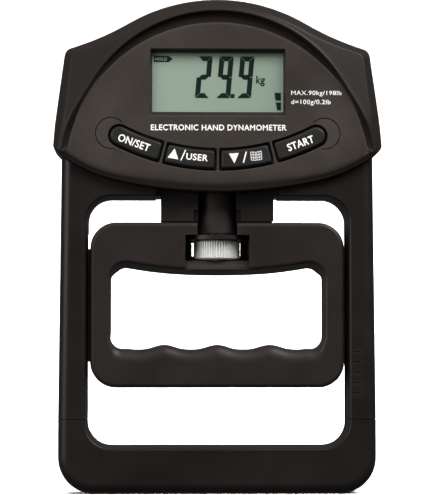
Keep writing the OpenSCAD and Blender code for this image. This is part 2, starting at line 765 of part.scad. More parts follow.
module handle_rear() {
  color("#2d2b29") difference() {
    handle_form(mid_y, handle_y1);
    handle_cuts();
    block([-window_rear_hw, mid_y - 1, shelf_z], [window_rear_hw, handle_y1 + 1, window_top_z]);
    block([-window_hw, mid_y - 1, shelf_z], [window_hw, mid_y + 8.2, window_top_z]);
    rod_z(0, mid_y, tube_r + 0.45, window_top_z - 0.1, handle_top_z + 1);
  }
}
module handle_core() {
  color("#a7aaad") difference() {
    slab(mid_y - 8, mid_y + 8) core_2d();
    rod_z(0, mid_y, tube_r + 0.45, 90, 110);
    block([-tube_r - 0.45, mid_y - 10, 90], [tube_r + 0.45, mid_y, 110]);
  }
}
module handle_screws() {
  color("#8f9194") for (p = handle_screw_posts) screw(p[0], p[1], handle_y1 - 0.65, 13);
}
module thrust_washer() {
  color("#1f1f1f") difference() {
    rod_z(0, mid_y, 11.5, wheel_z1 + 0.1, window_top_z - 0.05);
    rod_z(0, mid_y, thread_r + 0.4, 90, 110);
  }
}
module adjusting_wheel() {
  r = wheel_d / 2;
  color("#e6e4de") difference() {
    translate([0, mid_y, wheel_z0]) linear_extrude(wheel_z1 - wheel_z0) difference() {
      circle(r);
      for (i = [0:knurls - 1]) rotate(360 * i / knurls)
        polygon([[r + 0.2, -0.3], [r + 0.2, 0.3], [r - 0.45, 0]]);
    }
    rod_z(0, mid_y, thread_r, 80, 110);
  }
}
// Adjusting screw: foot journal, threaded stem shown by grooves
module adjusting_screw() {
  color("#b9bcc0") difference() {
    union() {
      rod_z(0, mid_y, 3, shelf_z - 2, wheel_z0);
      rod_z(0, mid_y, thread_r, wheel_z0, screw_top_z);
    }
    for (z = [wheel_z1 + 5:2:screw_top_z - 1]) translate([0, mid_y, z]) rotate_extrude()
      polygon([[thread_r + 0.1, -0.5], [thread_r - 0.5, 0], [thread_r + 0.1, 0.5]]);
  }
}

head_front_cover();
head_rear_cover();
head_screws();
lcd_window();
lcd_glass();
lcd_holder();
zebra_strips();
main_pcb();
pcb_components();
buzzer();
key_mat();
key_on_set();
key_user_up();
key_memory_down();
key_start();
battery_cover();
battery_springs();
battery_plates();
upper_cell();
lower_cell();
battery_leads();
load_cell();
load_cell_spacer();
load_cell_bolts();
strain_gauges();
gauge_leads();
neck_tube();
draw_bolt();
thread_insert();
neck_guide();
left_rail_front();
left_rail_rear();
right_rail_front();
right_rail_rear();
palm_bar_front();
palm_bar_rear();
frame_screws();
steel_frame();
handle_front();
handle_rear();
handle_core();
handle_screws();
thrust_washer();
adjusting_wheel();
adjusting_screw();
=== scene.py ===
import json
import math

import bmesh
import bpy
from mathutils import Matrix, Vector
from mathutils.geometry import delaunay_2d_cdt

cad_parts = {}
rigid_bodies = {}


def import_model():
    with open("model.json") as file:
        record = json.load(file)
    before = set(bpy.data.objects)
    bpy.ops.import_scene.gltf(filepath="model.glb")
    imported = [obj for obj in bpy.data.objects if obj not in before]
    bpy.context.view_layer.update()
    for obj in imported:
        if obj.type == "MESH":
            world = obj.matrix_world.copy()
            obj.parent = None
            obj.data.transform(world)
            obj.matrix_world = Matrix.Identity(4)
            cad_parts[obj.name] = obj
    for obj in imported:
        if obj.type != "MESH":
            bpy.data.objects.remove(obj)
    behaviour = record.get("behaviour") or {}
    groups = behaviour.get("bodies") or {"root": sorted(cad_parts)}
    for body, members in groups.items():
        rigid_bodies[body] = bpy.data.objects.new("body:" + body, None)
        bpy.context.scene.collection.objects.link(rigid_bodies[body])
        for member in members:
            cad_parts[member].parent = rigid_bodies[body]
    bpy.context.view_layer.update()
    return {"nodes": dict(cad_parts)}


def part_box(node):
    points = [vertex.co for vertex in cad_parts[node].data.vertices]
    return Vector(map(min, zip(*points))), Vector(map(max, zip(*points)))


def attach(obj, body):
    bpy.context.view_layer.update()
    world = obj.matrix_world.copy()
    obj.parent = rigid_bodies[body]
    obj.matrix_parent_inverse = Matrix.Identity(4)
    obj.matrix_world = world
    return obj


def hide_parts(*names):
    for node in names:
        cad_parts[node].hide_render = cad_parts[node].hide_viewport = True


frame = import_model()

# Sizes below are millimetres in the frame's own axes; MM turns them into metres.
MM = 0.001


def span(node):
    """A CAD node's lowest and highest corner, in millimetres."""
    low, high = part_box(node)
    return [v / MM for v in low], [v / MM for v in high]


HEAD_LOW, HEAD_HIGH = span("head_front_cover")
RAIL_LOW, RAIL_HIGH = span("right_rail_front")
GRIP_LOW, GRIP_HIGH = span("handle_front")
TUBE_LOW, TUBE_HIGH = span("neck_tube")
WHEEL_LOW, WHEEL_HIGH = span("adjusting_wheel")
CORE_LOW, CORE_HIGH = span("handle_core")
LID_LOW, LID_HIGH = span("battery_cover")
LOOP_HW = span("steel_frame")[1][0]

# Depths; the display side faces -Y
FRONT_Y = HEAD_LOW[1]
PANEL_Y = FRONT_Y + 1.2
GROOVE_Y = PANEL_Y + 1.3
SPLIT_Y = HEAD_HIGH[1]
FRAME_Y0 = RAIL_LOW[1]
MID_Y = RAIL_HIGH[1]
BACK_Y = span("right_rail_rear")[1][1]
HANDLE_Y0 = GRIP_LOW[1]
HANDLE_Y1 = 2 * MID_Y - HANDLE_Y0
# Past the object on either side, for cutters that go right through
PAST = 30

# Head: the rim and the panel are circles, and the keys lie in a band of a third circle
CREST_Z = HEAD_HIGH[2]
HEAD_LOW_Z = HEAD_LOW[2]
HEAD_CORNER = 2.8
HEAD_WALL = 2.0
HEAD_GAP = 0.15
RIM_Z, RIM_R = CREST_Z - 60.9, 56.5
DISC_Z, DISC_R = CREST_Z - 67.6, 58.6
BAND_Z, BAND_R0, BAND_R1 = HEAD_LOW_Z + 94.9, 78.2, 86.9
BAND_END = 27.2
DIVIDERS = (-14.7, 0, 14.9)
DIVIDER_W = 0.9
KEY_GAP = 0.8

# Frame
OPENING_HW = 50.7
OPENING_TOP_Z = 114.2
OPENING_DRAFT = 1.1
PALM_TOP_Z = 17.5
SEAM_Z = span("palm_bar_front")[1][2]
RAIL_HW = RAIL_HIGH[0]
RAIL_TOP_Z = 140.0
FRAME_EDGE = 4.3
COLLAR_HW = 23.7
RAIL_SCREW = (50, 118)
PALM_SCREWS = ((-34, 13.2), (0, 13.2), (34, 13.2))
HEAD_SCREWS = ((-48, 165), (48, 165), (-52, 136), (52, 136))

# Handle, with the wheel's window between WINDOW_Z0 and WINDOW_Z1
HANDLE_HW = 48.9
HANDLE_TOP = GRIP_HIGH[2]
HANDLE_LOW = GRIP_LOW[2]
WINDOW_HW = 12.4
WINDOW_Z0, WINDOW_Z1 = 89.5, 99.4


# ---------------------------------------------------------------- drawing

def arc(cx, cz, r, a0, a1, n):
    """Points along an arc, angles in degrees."""
    steps = [math.radians(a0 + (a1 - a0) * i / n) for i in range(n + 1)]
    return [(cx + r * math.cos(a), cz + r * math.sin(a)) for a in steps]


def rounded(points, n=8):
    """A closed outline from (x, z, corner radius) entries."""
    out = []
    for i, (x, z, r) in enumerate(points):
        if r <= 0:
            out.append((x, z))
            continue
        b = Vector((x, z))
        u = (Vector(points[i - 1][:2]) - b).normalized()
        v = (Vector(points[(i + 1) % len(points)][:2]) - b).normalized()
        half = u.angle(v) / 2
        m = b + (u + v).normalized() * (r / math.sin(half))
        p = b + u * (r / math.tan(half)) - m
        q = b + v * (r / math.tan(half)) - m
        a0 = math.degrees(math.atan2(p.y, p.x))
        turn = math.degrees(math.atan2(q.y, q.x)) - a0
        turn = (turn + 180) % 360 - 180
        out += arc(m.x, m.y, r, a0, a0 + turn, n)
    return out


def resample(points, step):
    """A closed outline with its long stretches cut into even steps."""
    out = []
    for i, p in enumerate(points):
        q = points[(i + 1) % len(points)]
        gap = math.dist(p, q)
        if gap < 1e-6:
            continue
        n = max(1, round(gap / step))
        dx, dz = q[0] - p[0], q[1] - p[1]
        out += [(p[0] + dx * k / n, p[1] + dz * k / n) for k in range(n)]
    return out


def area(points):
    """Signed area of a closed outline; above 0 when it runs anticlockwise."""
    pairs = zip(points, points[1:] + points[:1])
    return sum(p[0] * q[1] - q[0] * p[1] for p, q in pairs) / 2


def side_normals(points, into):
    """Unit normals of an outline: into its inside, or out of it."""
    sign = (1 if area(points) > 0 else -1) * (1 if into else -1)
    out = []
    n = len(points)
    for i in range(n):
        a = Vector(points[i]) - Vector(points[i - 1])
        b = Vector(points[(i + 1) % n]) - Vector(points[i])
        a = Vector((-a.y, a.x)).normalized() * sign
        b = Vector((-b.y, b.x)).normalized() * sign
        m = (a + b).normalized()
        out.append(m / max(0.5, m.dot(a)))
    return out


def inset(points, gap):
    """An outline moved in by gap along its normals, or out where gap is below 0."""
    normals = side_normals(points, True)
    return [(p[0] + n.x * gap, p[1] + n.y * gap) for p, n in zip(points, normals)]


def fillet(r, face_y, sign, n=6, depth=None):
    """(inset, y) stations round an edge, from its side wall to its face."""
    d = r if depth is None else depth
    quarter = [math.pi / 2 * k / n for k in range(n + 1)]
    return [(r * (1 - math.cos(a)), face_y + sign * d * (1 - math.sin(a))) for a in quarter]


def tube(points, stations, into=True, weight=None):
    """Rings of (x, y, z) made by insetting an outline at each (inset, y) station.

    weight holds a share for each point: its inset and its fillet's depth shrink by it.
    """
    normals = side_normals(points, into)
    face_y = stations[-1][1]
    rings = []
    for inset, y in stations:
        ring = []
        for i, (p, n) in enumerate(zip(points, normals)):
            w = weight[i] if weight else 1
            drop = (y - face_y) * w if abs(y - stations[0][1]) > 0.3 else y - face_y
            ring.append((p[0] + n.x * inset * w, face_y + drop, p[1] + n.y * inset * w))
        rings.append(ring)
    return rings


def inside(p, ring):
    """Whether the point (x, z) lies inside a ring of (x, y, z) points."""
    odd = False
    for a, b in zip(ring, ring[1:] + ring[:1]):
        if (a[2] > p[1]) != (b[2] > p[1]):
            if p[0] < a[0] + (p[1] - a[2]) / (b[2] - a[2]) * (b[0] - a[0]):
                odd = not odd
    return odd


def inner_triangles(flat, tris, fence, rings):
    """Numbers of the triangles between the outline and its holes.

    Spreads from one large triangle and never crosses the fence, which is the rings' own edges.
    """
    fence = {frozenset(e) for e in fence}
    beside = {}
    for k, (a, b, c) in enumerate(tris):
        for side in ((a, b), (b, c), (c, a)):
            beside.setdefault(frozenset(side), []).append(k)

    def size(k):
        a, b, c = (flat[i] for i in tris[k])
        return abs((b - a).cross(c - a))

    for seed in sorted(range(len(tris)), key=size, reverse=True):
        mid = sum((flat[i] for i in tris[seed]), Vector((0, 0))) / 3
        if inside(mid, rings[0]) and not any(inside(mid, ring) for ring in rings[1:]):
            break
    found, todo = {seed}, [seed]
    while todo:
        a, b, c = tris[todo.pop()]
        for side in (frozenset(s) for s in ((a, b), (b, c), (c, a))):
            if side not in fence:
                fresh = [m for m in beside[side] if m not in found]
                found.update(fresh)
                todo += fresh
    return sorted(found)


def shell_bmesh(tubes):
    """A closed body: tubes of rings, capped flat over their first and their last rings.

    The first tube is the outside; the others are holes through it.
    """
    bm = bmesh.new()
    grids = []
    for rings in tubes:
        grid = [[bm.verts.new(Vector(c) * MM) for c in ring] for ring in rings]
        grids.append(grid)
        for low, high in zip(grid, grid[1:]):
            n = len(low)
            for i in range(n):
                j = (i + 1) % n
                bm.faces.new((low[i], low[j], high[j], high[i]))
    for end in (0, -1):
        flat, verts, edges = [], [], []
        for rings, grid in zip(tubes, grids):
            start = len(flat)
            n = len(rings[end])
            flat += [Vector((c[0], c[2])) for c in rings[end]]
            verts += grid[end]
            edges += [(start + i, start + (i + 1) % n) for i in range(n)]
        _, _, faces, origin, _, _ = delaunay_2d_cdt(flat, edges, [], 0, 1e-6)
        if not all(origin):
            raise ValueError("two rings of a cap cross each other")
        tris = [[origin[i][0] for i in face] for face in faces]
        for k in inner_triangles(flat, tris, edges, [t[end] for t in tubes]):
            bm.faces.new([verts[i] for i in tris[k]])
    bmesh.ops.recalc_face_normals(bm, faces=bm.faces)
    return bm


def add_object(name, data):
    obj = bpy.data.objects.new(name, data)
    bpy.context.collection.objects.link(obj)
    return obj


def to_object(name, bm):
    mesh = bpy.data.meshes.new(name)
    bm.to_mesh(mesh)
    bm.free()
    return add_object(name, mesh)


def prism(points, y0, y1, name="cutter"):
    """An outline made solid from y0 to y1."""
    rings = [[(x, y, z) for x, z in points] for y in (y0, y1)]
    return to_object(name, shell_bmesh([rings]))


def block(low, high):
    """A box, for cutting."""
    (x0, y0, z0), (x1, y1, z1) = low, high
    return prism([(x0, z0), (x1, z0), (x1, z1), (x0, z1)], y0, y1)


def side_block(side, x0, x1, y, z):
    """A box from x0 to x1 on the right (side 1) or mirrored on the left (side -1)."""
    xs = sorted((side * x0, side * x1))
    return block((xs[0], y[0], z[0]), (xs[1], y[1], z[1]))


def extruded(low, high, triangles=False):
    """A cutter between two matching closed loops of (x, y, z) points."""
    bm = bmesh.new()
    a, b = [[bm.verts.new(Vector(c) * MM) for c in loop] for loop in (low, high)]
    n = len(a)
    for i in range(n):
        j = (i + 1) % n
        bm.faces.new((a[i], a[j], b[j], b[i]))
    bm.faces.new(a[::-1])
    bm.faces.new(b)
    if triangles:
        bmesh.ops.triangulate(bm, faces=bm.faces)
    bmesh.ops.recalc_face_normals(bm, faces=bm.faces)
    return to_object("cutter", bm)


def rod(axis, a, b, r, low, high, n=64):
    """A round bar along Y through (x, z), along Z through (x, y) or along X through (y, z)."""
    ring = arc(a, b, r, 0, 360 * (n - 1) / n, n - 1)
    if axis == "Y":
        return prism(ring, low, high)
    return extruded(*[[(h, x, y) if axis == "X" else (x, y, h) for x, y in ring]
                      for h in (low, high)])


def lathe(profile, name, n=128, wave=None):
    """A body turned about the tube's upright axis from a closed (radius, z) profile.

    wave(angle) is added to a radius, times the third value of its entry where there is one.
    """
    bm = bmesh.new()
    turns = []
    for k in range(n):
        a = 2 * math.pi * k / n
        grow = wave(a) if wave else 0
        ring = []
        for entry in profile:
            r = entry[0] + (grow * entry[2] if len(entry) > 2 else 0)
            place = Vector((r * math.cos(a), MID_Y + r * math.sin(a), entry[1]))
            ring.append(bm.verts.new(place * MM))
        turns.append(ring)
    m = len(profile)
    for k in range(n):
        a, b = turns[k], turns[(k + 1) % n]
        for i in range(m):
            j = (i + 1) % m
            bm.faces.new((a[i], b[i], b[j], a[j]))
    bmesh.ops.remove_doubles(bm, verts=bm.verts, dist=1e-7)
    bmesh.ops.recalc_face_normals(bm, faces=bm.faces)
    return to_object(name, bm)


def cut(obj, cutters, how="DIFFERENCE"):
    """Cuts obj with each cutter in turn, or joins them to it, and removes the cutters."""
    bpy.context.view_layer.objects.active = obj
    for tool in cutters:
        mod = obj.modifiers.new("cut", "BOOLEAN")
        mod.operation = how
        mod.solver = "EXACT"
        mod.object = tool
        bpy.ops.object.modifier_apply(modifier=mod.name)
        mesh = tool.data
        bpy.data.objects.remove(tool)
        bpy.data.meshes.remove(mesh)
    return obj


def copy_of(obj, name):
    twin = obj.copy()
    twin.data = obj.data.copy()
    twin.name = name
    bpy.context.collection.objects.link(twin)
    return twin


def drop(obj):
    mesh = obj.data
    bpy.data.objects.remove(obj)
    bpy.data.meshes.remove(mesh)


def finish_piece(obj, body, material, nodes, edge=0.0, angle=32):
    """Clean mesh, small edge round, material, body and CAD nodes of a finished piece."""
    mesh = obj.data
    bm = bmesh.new()
    bm.from_mesh(mesh)
    bmesh.ops.remove_doubles(bm, verts=bm.verts, dist=2e-6)
    bmesh.ops.dissolve_degenerate(bm, edges=bm.edges, dist=1e-6)
    # Small holes that a boolean can leave at slivers
    open_edges = [e for e in bm.edges if e.is_boundary]
    bmesh.ops.holes_fill(bm, edges=open_edges, sides=8)
    bm.to_mesh(mesh)
    bm.free()
    mesh.materials.clear()
    mesh.materials.append(material)
    mesh.shade_smooth()
    if edge:
        bevel = obj.modifiers.new("edges", "BEVEL")
        bevel.width = edge * MM
        bevel.segments = 2
        bevel.limit_method = "ANGLE"
        bevel.angle_limit = math.radians(40)
        bevel.harden_normals = False
    mesh.set_sharp_from_angle(angle=math.radians(angle))
    weighted = obj.modifiers.new("normals", "WEIGHTED_NORMAL")
    weighted.keep_sharp = True
    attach(obj, body)
    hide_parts(*nodes)
    return obj


# ---------------------------------------------------------------- materials

# Noise between these values carries nearly all of its variation
MIDDLE = (0.3, 0.7)
# Pointiness of a slightly rounded and of a sharp edge
SHARP = (0.515, 0.60)


def srgb(r, g, b):
    """A colour given as 0-255 display values, in Blender's linear values."""
    out = []
    for v in (r, g, b):
        v /= 255
        out.append(v / 12.92 if v <= 0.04045 else ((v + 0.055) / 1.055) ** 2.4)
    return (*out, 1.0)


def shade(color, factor, lift=0.0):
    """A colour made lighter or darker."""
    return tuple(min(1, c * factor + lift) for c in color[:3]) + (1,)


def new_material(name):
    mat = bpy.data.materials.new(name)
    mat.use_nodes = True
    return mat, mat.node_tree, mat.node_tree.nodes["Principled BSDF"]


def feed(node, key, value):
    """Sets an input of a node, or links it where the value is another node's output."""
    socket = node.inputs[key]
    if isinstance(value, bpy.types.NodeSocket):
        node.id_data.links.new(value, socket)
    else:
        socket.default_value = value


def add_node(tree, kind, inputs, **settings):
    node = tree.nodes.new("ShaderNode" + kind)
    for key, value in settings.items():
        setattr(node, key, value)
    for key, value in inputs.items():
        feed(node, key, value)
    return node


def own_place(tree):
    """A point's place in the object's own metres."""
    return add_node(tree, "TexCoord", {}).outputs["Object"]


def noise(tree, scale, detail, stretch=None):
    """Noise over the object's own place; stretch squeezes it along an axis."""
    place = own_place(tree)
    if stretch:
        place = add_node(tree, "Mapping", {"Vector": place, "Scale": stretch}).outputs["Vector"]
    inputs = {"Vector": place, "Scale": scale, "Detail": detail, "Roughness": 0.55}
    return add_node(tree, "TexNoise", inputs).outputs["Fac"]


def ranged(tree, value, low, high, to_low, to_high):
    """A value between low and high, spread between to_low and to_high."""
    inputs = {"Value": value, "From Min": low, "From Max": high}
    inputs |= {"To Min": to_low, "To Max": to_high}
    return add_node(tree, "MapRange", inputs).outputs["Result"]


def mixed(tree, factor, a, b):
    """A mix of colours or sockets a and b; 6, 7 and 2 are the mix node's colour sockets."""
    return add_node(tree, "Mix", {"Factor": factor, 6: a, 7: b}, data_type="RGBA").outputs[2]


def bump(tree, shader, height, strength, distance):
    inputs = {"Height": height, "Strength": strength, "Distance": distance}
    feed(shader, "Normal", add_node(tree, "Bump", inputs).outputs["Normal"])


def plastic(name, color, rough, grain=2600, grain_mm=0.02, specular=0.3, edge_wear_and_highlight=0.25):
    """Moulded plastic: spark-eroded grain, slow mottling, and convex edges lightened, partly as
    rubbed wear and partly as a painted highlight.
    """
    mat, tree, shader = new_material(name)
    mottle = noise(tree, 45, 4)
    tone = ranged(tree, mottle, *MIDDLE, 0, 1)
    base = mixed(tree, tone, shade(color, 0.86), shade(color, 1.22, 0.0015))
    # Convex edges get a lighter colour: partly rubbed wear, partly a painted highlight along the
    # edge lines
    pointed = add_node(tree, "NewGeometry", {}).outputs["Pointiness"]
    edge = ranged(tree, pointed, *SHARP, 0, edge_wear_and_highlight)
    feed(shader, "Base Color", mixed(tree, edge, base, shade(color, 2.1, 0.01)))
    feed(shader, "Roughness", ranged(tree, mottle, *MIDDLE, rough - 0.035, rough + 0.045))
    feed(shader, "Specular IOR Level", specular)
    bump(tree, shader, noise(tree, grain, 2), 0.35, grain_mm * MM)
    return mat


def two_tone_and_recess_shade(name, color, outer, rough):
    """The head's front: the round panel in one colour and all outside it in a darker one;
    everything sunk below the panel's face also gets the darker colour, as painted shade in its
    grooves and recesses.
    """
    # The panel's convex edges are lightened more strongly, mostly as a painted highlight along its
    # ridge and edges
    mat = plastic(name, color, rough, specular=0.16, edge_wear_and_highlight=0.6)
    tree = mat.node_tree
    shader = tree.nodes["Principled BSDF"]
    place = add_node(tree, "SeparateXYZ", {"Vector": own_place(tree)}).outputs
    lift = add_node(tree, "Math", {0: place["Z"], 1: DISC_Z * MM}, operation="SUBTRACT")
    flat = add_node(tree, "CombineXYZ", {"X": place["X"], "Y": lift.outputs["Value"]})
    reach = add_node(tree, "VectorMath", {0: flat.outputs["Vector"]}, operation="LENGTH")
    rim = [(DISC_R + v) * MM for v in (-0.1, 0.3)]
    edge = ranged(tree, reach.outputs["Value"], *rim, 0, 1)
    # Painted shade: whatever lies below the panel's face, in grooves, pockets and rings, gets the
    # darker colour
    below = [(PANEL_Y + v) * MM for v in (0.2, 0.5)]
    sunk = ranged(tree, place["Y"], *below, 0, 1)
    outer_tone_and_recess_shade = add_node(tree, "Math", {0: edge, 1: sunk}, operation="MAXIMUM").outputs["Value"]
    base = shader.inputs["Base Color"].links[0].from_socket
    feed(shader, "Base Color", mixed(tree, outer_tone_and_recess_shade, base, outer))
    return mat


def metal(name, color, rough, stretch=(1, 1, 1), scale=900, deep=0.2, metallic=1.0):
    """Bare metal with drawn or turned lines along one direction."""
    mat, tree, shader = new_material(name)
    lines = noise(tree, scale, 3, stretch)
    tone = ranged(tree, lines, *MIDDLE, 0, 1)
    feed(shader, "Base Color", mixed(tree, tone, shade(color, 0.82), color))
    feed(shader, "Roughness", ranged(tree, lines, *MIDDLE, rough - 0.06, rough + 0.08))
    feed(shader, "Metallic", metallic)
    bump(tree, shader, lines, deep, 0.01 * MM)
    return mat


def lens_clear(name):
    """A thin clear window: mostly see-through, with its polish as gloss and faint dust."""
    mat, tree, shader = new_material(name)
    dust = noise(tree, 600, 4)
    feed(shader, "Base Color", (0.02, 0.03, 0.025, 1))
    feed(shader, "Alpha", 0.08)
    feed(shader, "Roughness", ranged(tree, dust, 0.45, 0.8, 0.04, 0.14))
    return mat


def display_green(name):
    """Reflective display film: grey green, with painted light that makes it a little brighter to
    one side, finely mottled.
    """
    mat, tree, shader = new_material(name)
    place = add_node(tree, "SeparateXYZ", {"Vector": own_place(tree)}).outputs
    # Painted light: the film is lighter towards its left side
    painted_light_fade = ranged(tree, place["X"], -26 * MM, 26 * MM, 0, 1)
    base = mixed(tree, painted_light_fade, srgb(164, 180, 164), srgb(150, 168, 152))
    speck = noise(tree, 1500, 2)
    tint = mixed(tree, ranged(tree, speck, *MIDDLE, 0, 0.10), base, srgb(120, 140, 120))
    feed(shader, "Base Color", tint)
    feed(shader, "Roughness", ranged(tree, speck, *MIDDLE, 0.42, 0.5))
    return mat


HOUSING = plastic("housing_black", srgb(26, 22, 20), 0.4)
PANEL = two_tone_and_recess_shade("panel_charcoal", srgb(55, 50, 46), srgb(37, 33, 30), 0.4)
HANDLE = plastic("handle_black", srgb(37, 32, 30), 0.42)
KEYS = plastic("key_black", srgb(36, 34, 33), 0.36, grain=3200)
# The tube's colour is lighter than the housing's: painted light that offsets the shade it gets in
# its channel under the head
TUBE = plastic("tube_black", srgb(42, 37, 34), 0.6, grain=1800, grain_mm=0.008)
PRINT = plastic("print_white", srgb(246, 246, 242), 0.5, grain=2400, grain_mm=0.004, edge_wear_and_highlight=0)
INK = plastic("lcd_ink", srgb(14, 30, 26), 0.4, grain=2000, grain_mm=0.002, edge_wear_and_highlight=0)
HOLDER = plastic("frame_white", srgb(206, 206, 198), 0.5)
RUBBER = plastic("silicone_grey", srgb(168, 168, 162), 0.6)
STRIPE = plastic("conductive_rubber", srgb(90, 62, 52), 0.6)
BOARD = plastic("board_green", srgb(36, 104, 62), 0.32, grain=1500)
CHIP = plastic("component_black", srgb(30, 30, 32), 0.42)
WASHER = plastic("washer_black", srgb(24, 24, 24), 0.4)
CELL = plastic("cell_label", srgb(228, 230, 233), 0.28, grain=1200, grain_mm=0.004, edge_wear_and_highlight=0)
RED_LEAD = plastic("lead_red", srgb(170, 34, 30), 0.45)
BLUE_LEAD = plastic("lead_blue", srgb(40, 84, 160), 0.45)
FOIL = plastic("gauge_foil", srgb(196, 122, 50), 0.35)
# The wheel is made partly diffuse in near white: painted reflection, standing in for the bright
# surroundings that its metal cannot see
WHEEL_METAL = metal("wheel_silver", srgb(250, 249, 244), 0.36, (1, 1, 0.03), 1400, 0.12, 0.35)
STRAP_STEEL = metal("strap_steel", srgb(186, 189, 192), 0.34, (1, 1, 0.06))
SCREW_STEEL = metal("screw_steel", srgb(192, 195, 198), 0.26)
BEAM_METAL = metal("beam_aluminium", srgb(222, 223, 225), 0.33, (0.05, 1, 1))
DARK_STEEL = metal("steel_dark", srgb(120, 122, 124), 0.38)
NICKEL = metal("nickel", srgb(216, 214, 206), 0.22)
BRASS = metal("insert_brass", srgb(212, 176, 96), 0.28)
LENS = lens_clear("clear_lens")
GREEN = display_green("lcd_green")

CAD_FINISH = (
    (HOUSING, ("head_rear_cover", "battery_cover", "neck_guide", "left_rail_front",
               "left_rail_rear", "right_rail_front", "right_rail_rear", "palm_bar_front",
               "palm_bar_rear")),
    (PANEL, ("head_front_cover",)), (HANDLE, ("handle_front", "handle_rear")),
    (KEYS, ("key_on_set", "key_user_up", "key_memory_down", "key_start")),
    (SCREW_STEEL, ("head_screws", "frame_screws", "handle_screws", "adjusting_screw")),
    (STRAP_STEEL, ("steel_frame", "handle_core")), (DARK_STEEL, ("load_cell_bolts", "draw_bolt")),
    (BEAM_METAL, ("load_cell", "load_cell_spacer")), (BRASS, ("thread_insert",)),
    (NICKEL, ("battery_springs", "battery_plates")), (WHEEL_METAL, ("adjusting_wheel",)),
    (CELL, ("upper_cell", "lower_cell")), (CHIP, ("pcb_components", "buzzer")),
    (LENS, ("lcd_window",)), (GREEN, ("lcd_glass",)), (HOLDER, ("lcd_holder",)),
    (STRIPE, ("zebra_strips",)), (BOARD, ("main_pcb",)), (RUBBER, ("key_mat",)),
    (RED_LEAD, ("battery_leads",)), (FOIL, ("strain_gauges",)), (BLUE_LEAD, ("gauge_leads",)),
    (TUBE, ("neck_tube",)), (WASHER, ("thrust_washer",)),
)


def finish_cad_nodes():
    """Gives every CAD node its own material."""
    for material, nodes in CAD_FINISH:
        for obj in [frame["nodes"][node] for node in nodes]:
            for target in [obj, *obj.children_recursive]:
                if target.type == "MESH":
                    for slot in target.material_slots:
                        slot.material = material


# ---------------------------------------------------------------- camera, floor and light

# In metres: where the camera stands and looks, and where the lamps aim
CAMERA_AT = (-0.027, FRONT_Y * MM - 0.88, 0.049)
CAMERA_AIM = (-0.0002, FRONT_Y * MM, 0.0941)
LAMP_AIM = (0, 0, 0.1)
FOCAL_LENGTH, SENSOR_HEIGHT = 112.0, 24
WORLD_LIGHT = 0.09

# Each lamp's name, place, size, watts, and whether it shows in reflections
LAMPS = (
    ("key_light", (0.6, -0.45, 0.85), (0.6, 0.6), 10.6, True),
    ("front_light", (-0.15, -0.5, 0.85), (0.6, 0.5), 8.6, False),
    ("fill_light", (-0.95, -0.6, 0.3), (0.7, 0.7), 5.0, True),
    ("back_light", (0.5, 1.2, 0.75), (0.9, 0.7), 16, False),
    ("back_fill", (-0.9, 1.0, 0.3), (0.6, 0.6), 6, False),
)


def facing(place, aim):
    """The rotation that turns a camera or a lamp at place towards aim."""
    return (Vector(aim) - Vector(place)).to_track_quat("-Z", "Y").to_euler()


def add_camera():
    camera = add_object("camera", bpy.data.cameras.new("camera"))
    camera.location = CAMERA_AT
    camera.rotation_euler = facing(CAMERA_AT, CAMERA_AIM)
    camera.data.sensor_fit = "VERTICAL"
    camera.data.sensor_height = SENSOR_HEIGHT
    camera.data.lens = FOCAL_LENGTH
    camera.data.clip_end = 20
    bpy.context.scene.camera = camera


def add_backdrop():
    """Floor and backdrop in one sweep, with a wide soft bend; sizes in metres."""
    bend, half, back = 0.5, 3.0, 1.6
    turns = [math.pi / 2 * k / 16 for k in range(17)]
    curve = [(back - bend + bend * math.sin(a), bend - bend * math.cos(a)) for a in turns]
    path = [(-half, 0.0)] + curve + [(back, half)]
    bm = bmesh.new()
    rows = [[bm.verts.new((x, y, z)) for x in (-half, half)] for y, z in path]
    for a, b in zip(rows, rows[1:]):
        bm.faces.new((a[0], a[1], b[1], b[0]))
    sweep = to_object("backdrop", bm)
    sweep.data.shade_smooth()
    sweep.data.materials.append(plastic("paper_white", srgb(250, 250, 250), 0.9, edge_wear_and_highlight=0))
    # The paper is kept out of reflections and bounced light, so black plastic stays dark
    sweep.visible_diffuse = sweep.visible_glossy = False
    return sweep


def add_lamp(name, place, size, power, glossy=True, aim=LAMP_AIM):
    light = bpy.data.lights.new(name, "AREA")
    light.shape = "RECTANGLE"
    light.size, light.size_y = size
    light.energy = power
    obj = add_object(name, light)
    obj.location = place
    obj.rotation_euler = facing(place, aim)
    obj.visible_glossy = glossy
    obj.visible_camera = False
    return obj


def set_the_scene():
    """Camera, paper sweep, faint even light, five lamps, and one for the paper alone."""
    add_camera()
    sweep = add_backdrop()
    world = bpy.data.worlds.new("studio")
    world.use_nodes = True
    sky = world.node_tree.nodes["Background"]
    sky.inputs["Color"].default_value = (1, 1, 1, 1)
    sky.inputs["Strength"].default_value = WORLD_LIGHT
    for lamp in LAMPS:
        add_lamp(*lamp)
    paper = add_lamp("paper_light", (0, 0.5, 2.0), (2.2, 0.8), 60, aim=(0, 1.4, 0.4))
    only_paper = bpy.data.collections.new("lit_by_paper_light")
    only_paper.objects.link(sweep)
    paper.light_linking.receiver_collection = only_paper
    scene = bpy.context.scene
    scene.world = world
    scene.view_settings.view_transform = "Standard"
    scene.view_settings.look = "None"


# ---------------------------------------------------------------- head

# Radii of the head's outline, from its crest down to its foot
CREST_R = 68
FLARE_R = 100
FOOT_R = 176
HEEL_R = 60
FOOT_TURN = 12.5


